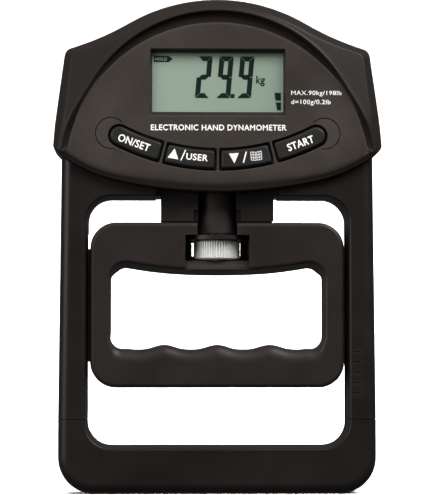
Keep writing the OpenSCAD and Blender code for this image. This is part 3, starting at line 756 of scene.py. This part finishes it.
def head_outline(corner=HEAD_CORNER):
    """The head in the front view, anticlockwise from the middle of its lower edge.

    Its right half runs along a flat foot, a round heel, a side with two bends, a hollow flare
    and the crest; the left half mirrors it.
    """
    crest = arc(0, CREST_Z - CREST_R, CREST_R, 60, 90, 14)
    knee = crest[0]
    bend = math.radians(60)
    bow = (knee[0] + FLARE_R * math.cos(bend), knee[1] + FLARE_R * math.sin(bend))
    flare = arc(*bow, FLARE_R, 253, 240, 6)
    foot = arc(0, HEAD_LOW_Z + FOOT_R, FOOT_R, -90, FOOT_TURN - 90, 6)
    turn = math.radians(FOOT_TURN)
    heel_x = foot[-1][0] - HEEL_R * math.sin(turn)
    heel_z = foot[-1][1] + HEEL_R * math.cos(turn)
    heel = arc(heel_x, heel_z, HEEL_R, FOOT_TURN - 90, -53, 6)
    bends = [(63.3, 132.7, corner), (62.5, 142, 0), (58.7, 170.7, 3.5)]
    side = rounded([(*heel[-1], 0)] + bends + [(*flare[0], 0)], 6)
    half = foot[1:] + heel[1:] + side[1:] + flare[1:] + crest[1:-1]
    return [foot[0]] + half + [crest[-1]] + [(-x, z) for x, z in reversed(half)]


def smooth(t):
    """A soft step from 0 at t = 0 to 1 at t = 1."""
    t = min(1, max(0, t))
    return t * t * (3 - 2 * t)


def panel_reach(angle):
    """Distance from the rim's centre to the panel's edge, at an angle in radians."""
    drop = DISC_Z - RIM_Z
    across = drop * math.cos(angle)
    return drop * math.sin(angle) + math.sqrt(DISC_R ** 2 - across ** 2)


def upper_profile(reach, degrees, angle):
    """(distance from the rim's centre, y) stations of the head's upper part, from its edge in.

    They follow the side wall, a bevel, the shoulder facet, the ridge, the crescent groove and
    the panel's edge. The ridge sinks to the panel and the groove fades towards the lower end.
    """
    ridge = min(RIM_R + 3.6 * smooth((31 - degrees) / 29), reach - 1.2)
    ridge_y = FRONT_Y + (PANEL_Y - FRONT_Y) * smooth((16 - degrees) / 14)
    panel = min(panel_reach(angle), ridge - 1.0)
    width = ridge - panel
    floor_y = PANEL_Y + (GROOVE_Y - PANEL_Y) * smooth((width - 1.2) / 1.6)
    room = reach - ridge - 0.45
    bevel = min(3.4, 0.8 * room)
    land = room - bevel
    top = reach - bevel
    ridge_foot = ridge_y + 0.3
    foot_y = ridge_foot + land * 0.24
    side_y = foot_y + 1.15 * bevel
    points = [(reach, SPLIT_Y), (reach, side_y + 1.0), (reach, side_y + 0.35)]
    points += [(reach - 0.1, side_y), (reach - 0.3, side_y - 0.3)]
    points += [(reach - 0.5 * bevel, foot_y + 0.52 * bevel), (top + 0.3, foot_y + 0.24)]
    points += [(top, foot_y + 0.05), (top - 0.3, foot_y - 0.04)]
    points += [(top - land * t, foot_y - (foot_y - ridge_foot) * t) for t in (0.35, 0.7)]
    points += [(ridge + 0.45, ridge_foot), (ridge + 0.25, ridge_y + 0.13)]
    points += [(ridge, ridge_y + 0.02), (ridge - 0.25, ridge_y + 0.03)]
    points += [(ridge - 0.48, ridge_y + 0.16), (ridge - 0.6, ridge_y + 0.38)]
    wall = min(0.5, width * 0.3)
    points += [(ridge - 0.62 - wall, floor_y - 0.12), (ridge - 0.75 - wall, floor_y)]
    lip = min(0.5, width * 0.25)
    sunk = floor_y - PANEL_Y
    points += [(panel + lip * 0.3, floor_y), (panel, floor_y - 0.15 * sunk)]
    points += [(panel - 0.25, PANEL_Y + 0.25 * sunk), (panel - 0.6, PANEL_Y)]
    return points + [(panel - 1.6, PANEL_Y)]


def lower_profile(degrees, count):
    """(inset, y) stations of the head's lower part: side wall, round edge, gentle fall."""
    edge_y, edge_r, edge_high, fall = -11.3, 1.0, 1.1, 0.9
    far = 7.0 - 3.6 * smooth((degrees + 32) / 30)
    points = [(0, SPLIT_Y), (0, SPLIT_Y - 6), (0, edge_y)]
    for k in range(1, 9):
        a = math.pi / 2 * k / 8
        points.append((edge_r * (1 - math.cos(a)), edge_y - edge_high * math.sin(a)))
    rest = count - len(points)
    for k in range(1, rest + 1):
        t = k / rest
        points.append((edge_r + (far - edge_r) * t, PANEL_Y + fall * (1 - t) ** 2))
    return points


def head_profile(p, normal):
    """Points (x, y, z) of the display side, from the outline at p inwards."""
    x, z = p
    angle = math.atan2(z - RIM_Z, abs(x))
    degrees = math.degrees(angle)
    out = Vector((math.copysign(math.cos(angle), x), math.sin(angle)))
    reach = (Vector((x, z)) - Vector((0, RIM_Z))).length
    upper = upper_profile(reach, degrees, angle)
    lower = lower_profile(degrees, len(upper))
    upper = [(out.x * r, y, RIM_Z + out.y * r) for r, y in upper]
    lower = [(x + normal.x * s, y, z + normal.y * s) for s, y in lower]
    share = smooth((degrees + 1.0) / 5.0)
    pairs = zip(upper, lower)
    return [tuple(u * share + w * (1 - share) for u, w in zip(a, b)) for a, b in pairs]


def key_outline(i, gap, soft=0.7):
    """One of the four keys, or its pocket when gap is 0; number 0 to 3 from the left."""
    middle = (BAND_R0 + BAND_R1) / 2
    half = (BAND_R1 - BAND_R0) / 2 - gap
    edge = math.degrees((DIVIDER_W / 2 + gap) / middle)
    a0 = -BAND_END if i == 0 else DIVIDERS[i - 1] + edge
    a1 = BAND_END if i == 3 else DIVIDERS[i] - edge
    low = arc(0, BAND_Z, middle + half, a0 - 90, a1 - 90, 12)
    high = arc(0, BAND_Z, middle - half, a1 - 90, a0 - 90, 12)
    if i == 3:
        c = arc(0, BAND_Z, middle, a1 - 90, a1 - 90, 1)[0]
        low += arc(*c, half, a1 - 90, a1 + 90, 16)[1:-1]
    if i == 0:
        c = arc(0, BAND_Z, middle, a0 - 90, a0 - 90, 1)[0]
        high += arc(*c, half, a0 + 90, a0 + 270, 16)[1:-1]
    points = low + high
    corners = []
    for k, p in enumerate(points):
        a, b = Vector(points[k - 1]) - Vector(p), Vector(points[(k + 1) % len(points)]) - Vector(p)
        sharp = a.angle(b) < math.radians(130)
        corners.append((*p, soft if sharp else 0))
    return rounded(corners, 4)


def rounded_box(low, high, r, n):
    """An outline with corners at low and high, and one radius or one for each corner."""
    (x0, z0), (x1, z1) = low, high
    r = r if isinstance(r, tuple) else (r,) * 4
    return rounded([(x0, z0, r[0]), (x1, z0, r[1]), (x1, z1, r[2]), (x0, z1, r[3])], n)


def display_rings():
    """The display's opening: sloping sides with a soft lip at the panel."""
    wide, narrow = (157.6, 26.0, 12.95), (157.85, 25.25, 11.5)
    slope = [(1, SPLIT_Y, 0.3), (1, PANEL_Y + 1.85, 0.3), (0.06, PANEL_Y + 0.3, 0.5),
             (-0.06, PANEL_Y + 0.08, 0.6), (-0.25, PANEL_Y, 0.7)]
    rings = []
    for t, y, r in slope:
        z, hw, hh = [a + (b - a) * t for a, b in zip(wide, narrow)]
        rings.append([(x, y, v) for x, v in rounded_box((-hw, z - hh), (hw, z + hh), r, 4)])
    return rings


def circle_meets(points, cz, r):
    """An outline pulled in to a circle about (0, cz)."""
    out = []
    for x, z in points:
        d = Vector((x, z - cz))
        if d.length > r:
            d = d.normalized() * r
        out.append((d.x, cz + d.y))
    return out


def head_hollow():
    """The head's outline inside its wall."""
    return inset(resample(head_outline(corner=4.0), 2.0), HEAD_WALL)


def tube_hole():
    return rod("Z", 0, MID_Y, 7.75, 110, 124)


def halo(side):
    """Cutter for the open ring pressed into the panel round an outer key's end."""
    x, z, outer, inner, deep = side * 40.9, 138.0, 6.15, 5.75, 0.4
    ring = rod("Y", x, z, outer, PANEL_Y - 1, PANEL_Y + deep)
    key = key_outline(0 if side < 0 else 3, -0.9)
    return cut(ring, [rod("Y", x, z, inner, PANEL_Y - 2, PANEL_Y + 1),
                      prism(key, PANEL_Y - 2, PANEL_Y + 1)])


def head_front_cover():
    outline = resample(head_outline(), 1.0)
    normals = side_normals(outline, True)
    columns = [head_profile(p, n) for p, n in zip(outline, normals)]
    tubes = [[list(ring) for ring in zip(*columns)]]
    pocket = [(0.0, SPLIT_Y), (0.0, PANEL_Y + 0.7)] + fillet(0.35, PANEL_Y, 1, 4)
    tubes += [tube(resample(key_outline(i, 0), 1.2), pocket, into=False) for i in range(4)]
    tubes.append(display_rings())
    obj = to_object("head_front", shell_bmesh(tubes))
    # Hollow inside: wide up to the shoulders, then only behind the panel
    hollow = head_hollow()
    deep = circle_meets(hollow, RIM_Z, RIM_R - 1.2)
    rail_rooms = [block((s * 55.5 - 2.5, MID_Y - 6.6, 100), (s * 55.5 + 2.5, 20, 126))
                  for s in (-1, 1)]
    cut(obj, [prism(hollow, SPLIT_Y - 2.4, SPLIT_Y + 1), prism(deep, -10.6, SPLIT_Y - 2),
              tube_hole()] + rail_rooms)
    for side in (-1, 1):
        cut(obj, [halo(side)])
    return finish_piece(obj, "main", PANEL, ["head_front_cover"], angle=28)


# ---------------------------------------------------------------- frame

def frame_outline():
    """Slightly tapering rails on a round-cornered foot."""
    top_hw = 60.0 - (RAIL_HW - 60.0) * 7 / (133 - SEAM_Z)
    right = [(RAIL_HW, 0.0, 13.9), (RAIL_HW, SEAM_Z, 0), (top_hw, RAIL_TOP_Z, 6)]
    left = [(-x, z, r) for x, z, r in reversed(right)]
    return rounded([left[-1]] + right + left[:-1], 16)


def opening_outline():
    return rounded_box((-OPENING_HW, PALM_TOP_Z), (OPENING_HW, OPENING_TOP_Z), 10, 12)


def frame_half(front):
    """The whole plate of the frame in front of or behind its parting line."""
    sign = 1 if front else -1
    face = FRAME_Y0 if front else BACK_Y
    split = MID_Y - sign * 0.07
    outer = [(0.12, split), (0, split - sign * 0.14)] + fillet(FRAME_EDGE, face, sign, 10)
    draft = OPENING_DRAFT
    inner = [(0.1 - draft, split), (-draft, split - sign * 0.12)]
    inner += [(-0.55 * draft, (split + face) / 2)] + fillet(0.9, face, sign, 5)
    tubes = [tube(resample(frame_outline(), 4), outer),
             tube(resample(opening_outline(), 4), inner, into=False)]
    return to_object("frame_half", shell_bmesh(tubes))


def head_block():
    """Everything the head fills, with its gap, as a cutter."""
    return prism(inset(resample(head_outline(), 2.0), -HEAD_GAP), -PAST, PAST)


def screw_recess(x, z, face):
    return rod("Y", x, z, 2.9, face - 2.2, face + 1, 48)


def loop_slot():
    """Room for the steel loop inside the frame."""
    depth = (FRAME_Y0 + 2, BACK_Y - 2)
    rails = [side_block(s, LOOP_HW - 2.8, 58.9, depth, (20, 117.5)) for s in (-1, 1)]
    bars = [block((-58, -3.8, z0), (58, 8.8, z1)) for z0, z1 in ((5.2, 11.2), (120.2, 123.6))]
    return rails + bars


def frame_parts():
    """Rails and palm bar, each cut from the whole front or rear plate."""
    mark_z, mark_step, mark_h, mark_deep = 38.6, 3.95, 0.35, 0.25
    groove_y, groove_z = (MID_Y - 3.3, MID_Y + 3.3), (24, 100)
    parts = (("left_rail", (-70, SEAM_Z + 0.2), (-COLLAR_HW, RAIL_TOP_Z)),
             ("right_rail", (COLLAR_HW, SEAM_Z + 0.2), (70, RAIL_TOP_Z)),
             ("palm_bar", (-70, -5), (70, SEAM_Z)))
    for front, side in ((True, "front"), (False, "rear")):
        whole = frame_half(front)
        cut(whole, [head_block()] + loop_slot())
        # Grooves in which the handle's tongues slide
        cut(whole, [side_block(s, 49, 52.4, groove_y, groove_z) for s in (-1, 1)])
        if front:
            for i in range(5):
                z = mark_z + mark_step * i
                high = (55.1, FRAME_Y0 + mark_deep, z + mark_h)
                cut(whole, [block((52.2, FRAME_Y0 - 1, z), high)])
        else:
            spots = [(s * RAIL_SCREW[0], RAIL_SCREW[1]) for s in (-1, 1)] + list(PALM_SCREWS)
            cut(whole, [screw_recess(x, z, BACK_Y) for x, z in spots])
        for name, low, high in parts:
            part = copy_of(whole, f"{name}_{side}_shell")
            cut(part, [block((low[0], -PAST, low[1]), (high[0], PAST, high[1]))], "INTERSECT")
            finish_piece(part, "main", HOUSING, [f"{name}_{side}"], edge=0.15)
        drop(whole)


def neck_guide():
    """Block under the head with a stepped channel for the neck tube."""
    low, step, top, hw = 104.6, OPENING_TOP_Z, 124, 21.7
    y0, y1 = MID_Y - 9, MID_Y + 9
    channel_r = 7.4
    mouth_hw, mouth_z, mouth_deep = 9.1, 109, 1.3
    right = [(hw, low, 0.6), (hw, step, 0), (COLLAR_HW, step, 0), (COLLAR_HW, top, 0)]
    left = [(-x, z, r) for x, z, r in reversed(right)]
    obj = prism(rounded([left[-1]] + right + left[:-1], 4), y0, y1, "neck_guide_block")
    cut(obj, [head_block(), block((-channel_r, y0 - 1, 100), (channel_r, MID_Y, 130)),
              block((-mouth_hw, y0 - 1, 100), (mouth_hw, y0 + mouth_deep, mouth_z)),
              rod("Z", 0, MID_Y, channel_r, 100, 130)])
    return finish_piece(obj, "main", HOUSING, ["neck_guide"], edge=0.35)


def neck_tube():
    """Tube with a chamfered mouth, stepped down inside to the draw bolt's hole."""
    r, bore, bolt_r, step_z = TUBE_HIGH[0], 4.95, 2.6, 130.3
    low, high = TUBE_LOW[2], TUBE_HIGH[2]
    profile = [(bore, low + 0.4), (bore + 0.4, low), (r - 0.5, low), (r - 0.15, low + 0.15),
               (r, low + 0.5), (r, high), (bolt_r, high), (bolt_r, step_z), (bore, step_z)]
    obj = lathe(profile, "neck_tube_skin")
    return finish_piece(obj, "main", TUBE, ["neck_tube"])


# ---------------------------------------------------------------- handle

def hand_opening():
    """Bowed upper edge and four finger grooves below."""
    top_hw, top_z, bow = 33.5, 85.4, 3
    low, groove, pitch, reach, steps = 55.4, 1.8, 20.4, 36.4, 72
    xs = [top_hw - 2 * top_hw * i / 16 for i in range(1, 16)]
    top = [(x, top_z + bow * (x / top_hw) ** 2, 0) for x in xs]
    left = [(-34.6, 88.55, 0), (-41.4, 89, 6.2), (-41.4, low, 5)]
    right = [(-x, z, r) for x, z, r in reversed(left)]
    xs = [-reach + 2 * reach * i / steps for i in range(steps + 1)]
    grip = [(x, low + groove * abs(math.cos(math.pi * x / pitch)) ** 3, 0)
            for x in xs if abs(x) < 35.3]
    return rounded(top + left + grip + right, 10)


def core_slot():
    """Room for the steel core inside the handle."""
    hw, low, high = CORE_HIGH[0], CORE_LOW[2], CORE_HIGH[2]
    outer, inner = [rounded_box((gap - hw, low + gap), (hw - gap, high - gap), r, 10)
                    for gap, r in ((-0.2, 7.5), (2.2, 5.5))]
    return cut(prism(outer, MID_Y - 8.2, MID_Y + 8.2), [prism(inner, -PAST, PAST)])


def scoop(face):
    """Hollow for a fingertip under the wheel, with sloping ends."""
    deep, high, steps = 3.0, 3.6, 12
    rows = []
    for k in range(steps + 1):
        a = math.pi / 2 * k / steps
        depth, drop = deep * math.cos(a), high * math.sin(a)
        rows.append((face + depth, WINDOW_Z0 - drop, WINDOW_HW - 0.8 * (1 - drop / high)))
    rows.insert(0, (face + deep, WINDOW_Z0 + 1, rows[0][2]))
    rows += [(face - 1, rows[-1][1] - 0.6, 12.5), (face - 1, WINDOW_Z0 + 1, 12.5)]
    return extruded(*[[(s * h, y, z) for y, z, h in rows] for s in (-1, 1)], triangles=True)


def tunnel_rings(face, split, sign):
    """Sides of the hand opening, with a fillet that is widest over the finger grooves."""
    hole = resample(hand_opening(), 1.0)
    weight = [0.27 + 0.73 * smooth((58.5 - z) / 1.6) * smooth((40.6 - abs(x)) / 2.6)
              for x, z in hole]
    n = len(hole)
    for _ in range(2):
        weight = [(weight[i - 1] + weight[i] + weight[(i + 1) % n]) / 3 for i in range(n)]
    stations = [(0, split), (0, split - sign * 0.2)] + fillet(5.4, face, sign, 10, depth=4.6)
    rings = tube(hole, stations, into=False, weight=weight)
    rings[2:2] = [[Vector(a).lerp(b, t) for a, b in zip(rings[1], rings[2])] for t in (0.33, 0.67)]
    # The bars swell towards the middle of their depth, most of all under the palm
    swell = [0.5 * smooth((z - 57) / 6) + 1.3 * smooth((z - 82.5) / 4.5) for _, z in hole]
    normals = side_normals(hole, False)
    for ring in rings:
        for i, (p, out) in enumerate(zip(ring, normals)):
            grow = swell[i] * smooth(1 - abs(p[1] - split) / (abs(face - split) - 0.6))
            ring[i] = (p[0] - out.x * grow, p[1], p[2] - out.y * grow)
    return rings


def handle_half(front):
    sign = 1 if front else -1
    face = HANDLE_Y0 if front else HANDLE_Y1
    split = MID_Y - sign * 0.06
    node = "handle_front" if front else "handle_rear"
    outline = rounded_box((-HANDLE_HW, HANDLE_LOW), (HANDLE_HW, HANDLE_TOP), 10, 14)
    edge = [(0.12, split), (0, split - sign * 0.12)] + fillet(1.7, face, sign, 7)
    tubes = [tube(resample(outline, 3), edge), tunnel_rings(face, split, sign)]
    obj = to_object(node + "_shell", shell_bmesh(tubes))
    # Tongues that slide in the rails
    depth = sorted((split, MID_Y - sign * 3))
    cut(obj, [side_block(s, 47.4, 52, depth, (50.6, 94.2)) for s in (-1, 1)], "UNION")
    # The wheel's window and chamber, and the room of the neck tube above it
    tube_r, above = 7.7, HANDLE_TOP + 1
    if front:
        cut(obj, [block((-WINDOW_HW, face - 1, WINDOW_Z0), (WINDOW_HW, MID_Y + 1, WINDOW_Z1)),
                  block((-tube_r, face - 1, WINDOW_Z1 - 0.5), (tube_r, MID_Y + 1, above)),
                  scoop(face)])
    else:
        cut(obj, [block((-9.5, MID_Y - 1, 92.0), (9.5, face + 1, 97.2)),
                  block((-WINDOW_HW, MID_Y - 1, WINDOW_Z0), (WINDOW_HW, MID_Y + 9.1, WINDOW_Z1)),
                  rod("Z", 0, MID_Y, tube_r, WINDOW_Z1 - 0.5, above)])
        cut(obj, [screw_recess(x, z, face) for x in (-30, 30) for z in (49.5, 94.5)])
    cut(obj, [core_slot(), rod("Z", 0, MID_Y, 3.05, 87, 91)])
    return finish_piece(obj, "handle", HANDLE, [node], edge=0.25)


def wheel():
    """Knurled adjusting wheel with chamfered rims and rounded ribs."""
    r, bore, low, high = WHEEL_HIGH[0], 4.02, WHEEL_LOW[2], WHEEL_HIGH[2]
    ribs, deep = 54, 0.42
    rim = [(r - 1.0, 0), (r - 0.75, 0.06, 0.3), (r - 0.18, 0.55, 1), (r, 0.85, 1)]
    profile = [(bore, low)] + [(e[0], low + e[1], *e[2:]) for e in rim]
    profile += [(e[0], high - e[1], *e[2:]) for e in reversed(rim)] + [(bore, high)]

    def rib(a):
        return -deep * (1 - abs(math.sin(a * ribs / 2))) ** 1.6

    obj = lathe(profile, "wheel_knurl", n=ribs * 12, wave=rib)
    return finish_piece(obj, "wheel", WHEEL_METAL, ["adjusting_wheel"], angle=50)


# ---------------------------------------------------------------- keys, display and print

# The four key nodes from the left, each with the body that carries it
KEY_NODES = (("key_on_set", "on_set_key"), ("key_user_up", "up_key"),
             ("key_memory_down", "down_key"), ("key_start", "start_key"))


def key_cap(i, node, body):
    """Key cap with a bevelled top, and its skirt behind the panel."""
    top, back = span(node)[0][1], span(node)[1][1]
    skirt_y = -10.35
    bevel = [(0, 0.95), (0.08, 0.72), (0.55, 0.16), (0.72, 0.04), (0.95, 0)]
    stations = [(0, back)] + [(gap, top + down) for gap, down in bevel]
    outline = resample(key_outline(i, KEY_GAP, 1.15), 1.2)
    obj = to_object(node + "_cap", shell_bmesh([tube(outline, stations)]))
    cut(obj, [prism(key_outline(i, 0.2, 1.0), skirt_y, back)], "UNION")
    return finish_piece(obj, body, KEYS, [node])


def placed(obj, body, material):
    obj.data.materials.clear()
    obj.data.materials.append(material)
    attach(obj, body)
    return obj


def flat_piece(name, shapes, y, body, material, slot):
    """Flat outlines of (x, z) points as one thin printed piece facing the front."""
    thick = 0.02
    bm = bmesh.new()
    for points in shapes:
        for y0, turn in ((y - thick, 1), (y, -1)):
            bm.faces.new([bm.verts.new(Vector((x, y0, z)) * MM) for x, z in points[::turn]])
    return placed(to_object(name, bm), body, material)


def turned(points, at, turn):
    """Points turned by an angle in degrees about the origin, then moved to (x, z)."""
    c, s = math.cos(math.radians(turn)), math.sin(math.radians(turn))
    return [(at[0] + x * c - z * s, at[1] + x * s + z * c) for x, z in points]


def lettering(name, text, at, y, size, bold, body, material, slot, turn=0.0, slant=0.0):
    """Printed text centred at (x, z) on the plane y; size is its width and cap height.

    bold is how far the strokes are spread to each side, by printing the text again.
    """
    curve = bpy.data.curves.new(name, "FONT")
    curve.body = text
    curve.size = 1
    curve.shear = slant
    curve.space_character = 1.08
    curve.resolution_u = 4
    source = add_object(name + "_curve", curve)
    bpy.context.view_layer.update()
    drawn = source.evaluated_get(bpy.context.evaluated_depsgraph_get())
    mesh = bpy.data.meshes.new_from_object(drawn)
    bpy.data.objects.remove(source)
    xs = [v.co.x for v in mesh.vertices]
    zs = [v.co.y for v in mesh.vertices]
    mid_x, mid_z = (min(xs) + max(xs)) / 2, (min(zs) + max(zs)) / 2
    sx = (size[0] - 2 * bold) / (max(xs) - min(xs))
    sz = (size[1] - 2 * bold) / (max(zs) - min(zs))
    bm = bmesh.new()
    for k, (dx, dz) in enumerate(((0, 0), (-bold, 0), (bold, 0), (0, -bold), (0, bold))):
        flat = [((x - mid_x) * sx + dx, (z - mid_z) * sz + dz) for x, z in zip(xs, zs)]
        layer_y = y - 0.003 * k
        verts = [bm.verts.new(Vector((x, layer_y, z)) * MM) for x, z in turned(flat, at, turn)]
        for face in mesh.polygons:
            bm.faces.new([verts[i] for i in face.vertices])
    bpy.data.meshes.remove(mesh)
    return placed(to_object(name, bm), body, material)


def memory_mark():
    """Outlines of an open grid: on each half three upright lines and four cross lines."""
    boxes = [(x0, -1.75, x1, 1.65) for x0, x1 in ((0.12, 0.34), (1.0, 1.22), (1.9, 2.15))]
    boxes += [(0.1, z, 2.15, z + 0.27) for z in (-1.75, -0.72, 0.32, 1.4)]
    shapes = []
    for side in (-1, 1):
        for x0, z0, x1, z1 in boxes:
            corners = [(x0, z0), (x1, z0), (x1, z1), (x0, z1)][::side]
            shapes.append([(side * x, z + 0.12 * abs(x)) for x, z in corners])
    return shapes


def key_print():
    top = span("key_on_set")[0][1]
    y = top - 0.02
    white = (PRINT, "print_white")
    labels = (("on_set_label", "ON/SET", (-32.1, 134.3), (12.7, 3.0), 0.1, "on_set_key", -20),
              ("start_label", "START", (31.7, 134.2), (10.6, 3.0), 0.1, "start_key", 20),
              ("user_label", "USER", (-8.0, 128.75), (8.3, 2.6), 0.09, "up_key", -5))
    for name, text, at, size, bold, body, turn in labels:
        lettering(name, text, at, y, size, bold, body, *white, turn)
    stroke = [(-0.95, -2.1), (-0.45, -2.1), (0.95, 2.1), (0.45, 2.1)]
    up = [(-2.1, -1.9), (2.1, -1.9), (0, 2.0)]
    down = [(-1.9, 1.9), (0, -2.0), (1.9, 1.9)]
    shapes = [turned(up, (-16.9, 130.1), -10), turned(stroke, (-13.3, 129.5), -6)]
    flat_piece("up_mark", shapes, top, "up_key", *white)
    shapes = [turned(down, (6.2, 128.4), 3), turned(stroke, (10.3, 128.8), 4)]
    shapes += [turned(line, (14.7, 129.2), 5) for line in memory_mark()]
    flat_piece("down_mark", shapes, top, "down_key", *white)


def panel_print():
    lines = (("type_line", "ELECTRONIC HAND DYNAMOMETER", (0.3, 140.2), (52.0, 2.3), 0.08),
             ("rating_line_upper", "MAX.90kg/198lb", (37.8, 153.4), (19.4, 2.2), 0.03),
             ("rating_line_lower", "d=100g/0.2lb", (35.7, 149.9), (15.2, 2.3), 0.03))
    for name, text, at, size, bold in lines:
        lettering(name, text, at, PANEL_Y - 0.02, size, bold, "main", PRINT, "print_white")


# A digit's bars by their ends, as shares of the digit's width and height
SEGMENTS = {"a": (0, 1, 1, 1), "b": (1, 1, 1, 0.5), "c": (1, 0.5, 1, 0), "d": (0, 0, 1, 0),
            "e": (0, 0.5, 0, 0), "f": (0, 1, 0, 0.5), "g": (0, 0.5, 1, 0.5)}


def digit(which, x, z):
    """Bars of a seven-segment digit whose lower left corner is at (x, z)."""
    wide, high, bar, gap = 5.45, 16.15, 1.9, 0.07
    lean = math.tan(math.radians(5))
    shapes = []
    h = bar / 2
    for key in which:
        x0, z0, x1, z1 = SEGMENTS[key]
        a = Vector((h + x0 * (wide - bar), h + z0 * (high - bar)))
        b = Vector((h + x1 * (wide - bar), h + z1 * (high - bar)))
        t = (b - a).normalized()
        n = Vector((-t.y, t.x))
        a, b = a + t * gap, b - t * gap
        if key == "g":
            body = [a, a + (t + n) * h, b + (-t + n) * h, b, b - (t + n) * h, a + (t - n) * h]
        else:
            middle = Vector((wide / 2, high / 2))
            inner = n if (middle - a).dot(n) > 0 else -n
            ends = []
            for p, way in ((a, t), (b, -t)):
                reach = 0.0 if abs(p.y - high / 2) < 1.5 else h
                ends.append((p + way * (-reach + gap) - inner * h, p + way * reach + inner * h))
            body = [ends[0][0], ends[0][1], ends[1][1], ends[1][0]]
        shapes.append([(x + p.x + p.y * lean, z + p.y) for p in body])
    return shapes


def display_ink():
    """The reading, its unit, the memory block and the hold flag."""
    y = span("lcd_glass")[0][1] - 0.05
    low = 151.9
    shapes = []
    for which, x in (("abged", -8.8), ("abcdfg", -0.65), ("abcdfg", 7.35)):
        shapes += digit(which, x, low)
    shapes += [
        [(4.95, low), (6.4, low), (6.5, low + 1.6), (5.05, low + 1.6)],
        [(22.3, 151.0), (24.35, 151.0), (24.35, 154.0), (21.9, 154.0)],
        [(22.85, 147.3), (24.35, 147.3), (24.35, 150.3), (22.45, 150.3)],
        [(-24.6, 165.75), (-18.8, 165.75), (-17.4, 166.9), (-18.8, 168.1), (-24.6, 168.1)],
    ]
    shapes = [points if area(points) > 0 else points[::-1] for points in shapes]
    ink = ("main", INK, "lcd_ink")
    flat_piece("display_digits", shapes, y, *ink)
    lettering("display_unit", "kg", (16.5, 158.6), y, (3.6, 4.1), 0.09, *ink, slant=0.08)
    lettering("display_flag", "HOLD", (-21.8, 166.92), y - 0.04, (4.6, 1.25), 0.05,
              "main", GREEN, "lcd_green")


# ---------------------------------------------------------------- back of the head

BAY_HW, BAY_Z0, BAY_Z1, BAY_WALL = 27.4, 151.8, 175.2, 1.3
TONGUES_X = (-15, 15)


def lid_rebate():
    hw, high = LID_HIGH[0] + 0.25, LID_HIGH[2] + 0.25
    return rounded_box((-hw, 150.5), (hw, high), (0.6, 0.6, 1.2, 1.2), 4)


def head_rear_cover():
    """Rear half with the battery bay, tongue pockets, screw recesses and a thumb notch."""
    outline = resample(head_outline(), 1.5)
    stations = [(0.12, SPLIT_Y + 0.1), (0, SPLIT_Y + 0.24)] + fillet(2.8, BACK_Y, -1, 8)
    # The fillet is narrower round the head's lower corners
    weight = [0.93 - 0.43 * smooth((12 - math.dist((abs(x), z), (63, 132.5))) / 8)
              for x, z in outline]
    obj = to_object("head_rear", shell_bmesh([tube(outline, stations, weight=weight)]))
    hollow = prism(head_hollow(), SPLIT_Y - 1, BACK_Y - 2)
    cut(hollow, [rod("Y", x, z, 3, -20, 20, 32) for x, z in HEAD_SCREWS])
    cut(hollow, [block((-BAY_HW - BAY_WALL, 0.2, BAY_Z0 - BAY_WALL),
                       (BAY_HW + BAY_WALL, 20, BAY_Z1 + BAY_WALL))])
    cut(obj, [hollow, block((-BAY_HW, 1.4, BAY_Z0), (BAY_HW, 20, BAY_Z1)),
              prism(lid_rebate(), LID_LOW[1] + 1.4, 20)])
    tongue_pockets = [block((x - 4, 10.2, 148.8), (x + 4, 13.1, 152.3)) for x in TONGUES_X]
    recesses = [screw_recess(x, z, BACK_Y) for x, z in HEAD_SCREWS]
    loop_rooms = [block((x - 18, -4.3, 120.3), (x + 18, 9.3, 124.3)) for x in (-42, 42)]
    thumb_notch = rod("Z", 0, BACK_Y + 5.0, 7.0, 174.9, 180.0)
    cut(obj, tongue_pockets + recesses + loop_rooms + [tube_hole(), thumb_notch])
    return finish_piece(obj, "main", HOUSING, ["head_rear_cover"])


def battery_cover():
    """Plate on a barrel hinge, with two tongues, a catch and a ribbed thumb patch."""
    hw, low, high, y0 = LID_HIGH[0], 151.5, LID_HIGH[2], BACK_Y - 1.5
    outline = resample(rounded_box((-hw, low), (hw, high), (0.9, 0.9, 1.2, 1.2), 5), 3)
    stations = [(0.15, y0), (0, y0 + 0.15)] + fillet(0.4, BACK_Y, -1, 5)
    obj = to_object("battery_cover_shell", shell_bmesh([tube(outline, stations)]))
    extras = [rod("X", BACK_Y - 0.75, low, 0.75, -hw, hw, 32),
              block((-5, y0 - 1.6, 174.0), (5, y0 + 0.1, 174.9))]
    for x in TONGUES_X:
        extras += [block((x - 3.5, y0 - 1.6, 149.2), (x + 3.5, y0 - 0.4, 153.3)),
                   block((x - 3.5, y0 - 0.5, 152.1), (x + 3.5, y0 + 0.2, 153.3))]
    cut(obj, extras, "UNION")
    cut(obj, [rod("X", BACK_Y + 0.25, 168.55 + 1.4 * i, 0.6, -7, 7, 24) for i in range(5)])
    return finish_piece(obj, "battery_lid", HOUSING, ["battery_cover"], edge=0.08)


# ---------------------------------------------------------------- assembly

finish_cad_nodes()
set_the_scene()
head_front_cover()
frame_parts()
neck_guide()
neck_tube()
handle_half(True)
handle_half(False)
wheel()
for number, (node, body) in enumerate(KEY_NODES):
    key_cap(number, node, body)
key_print()
panel_print()
display_ink()
head_rear_cover()
battery_cover()
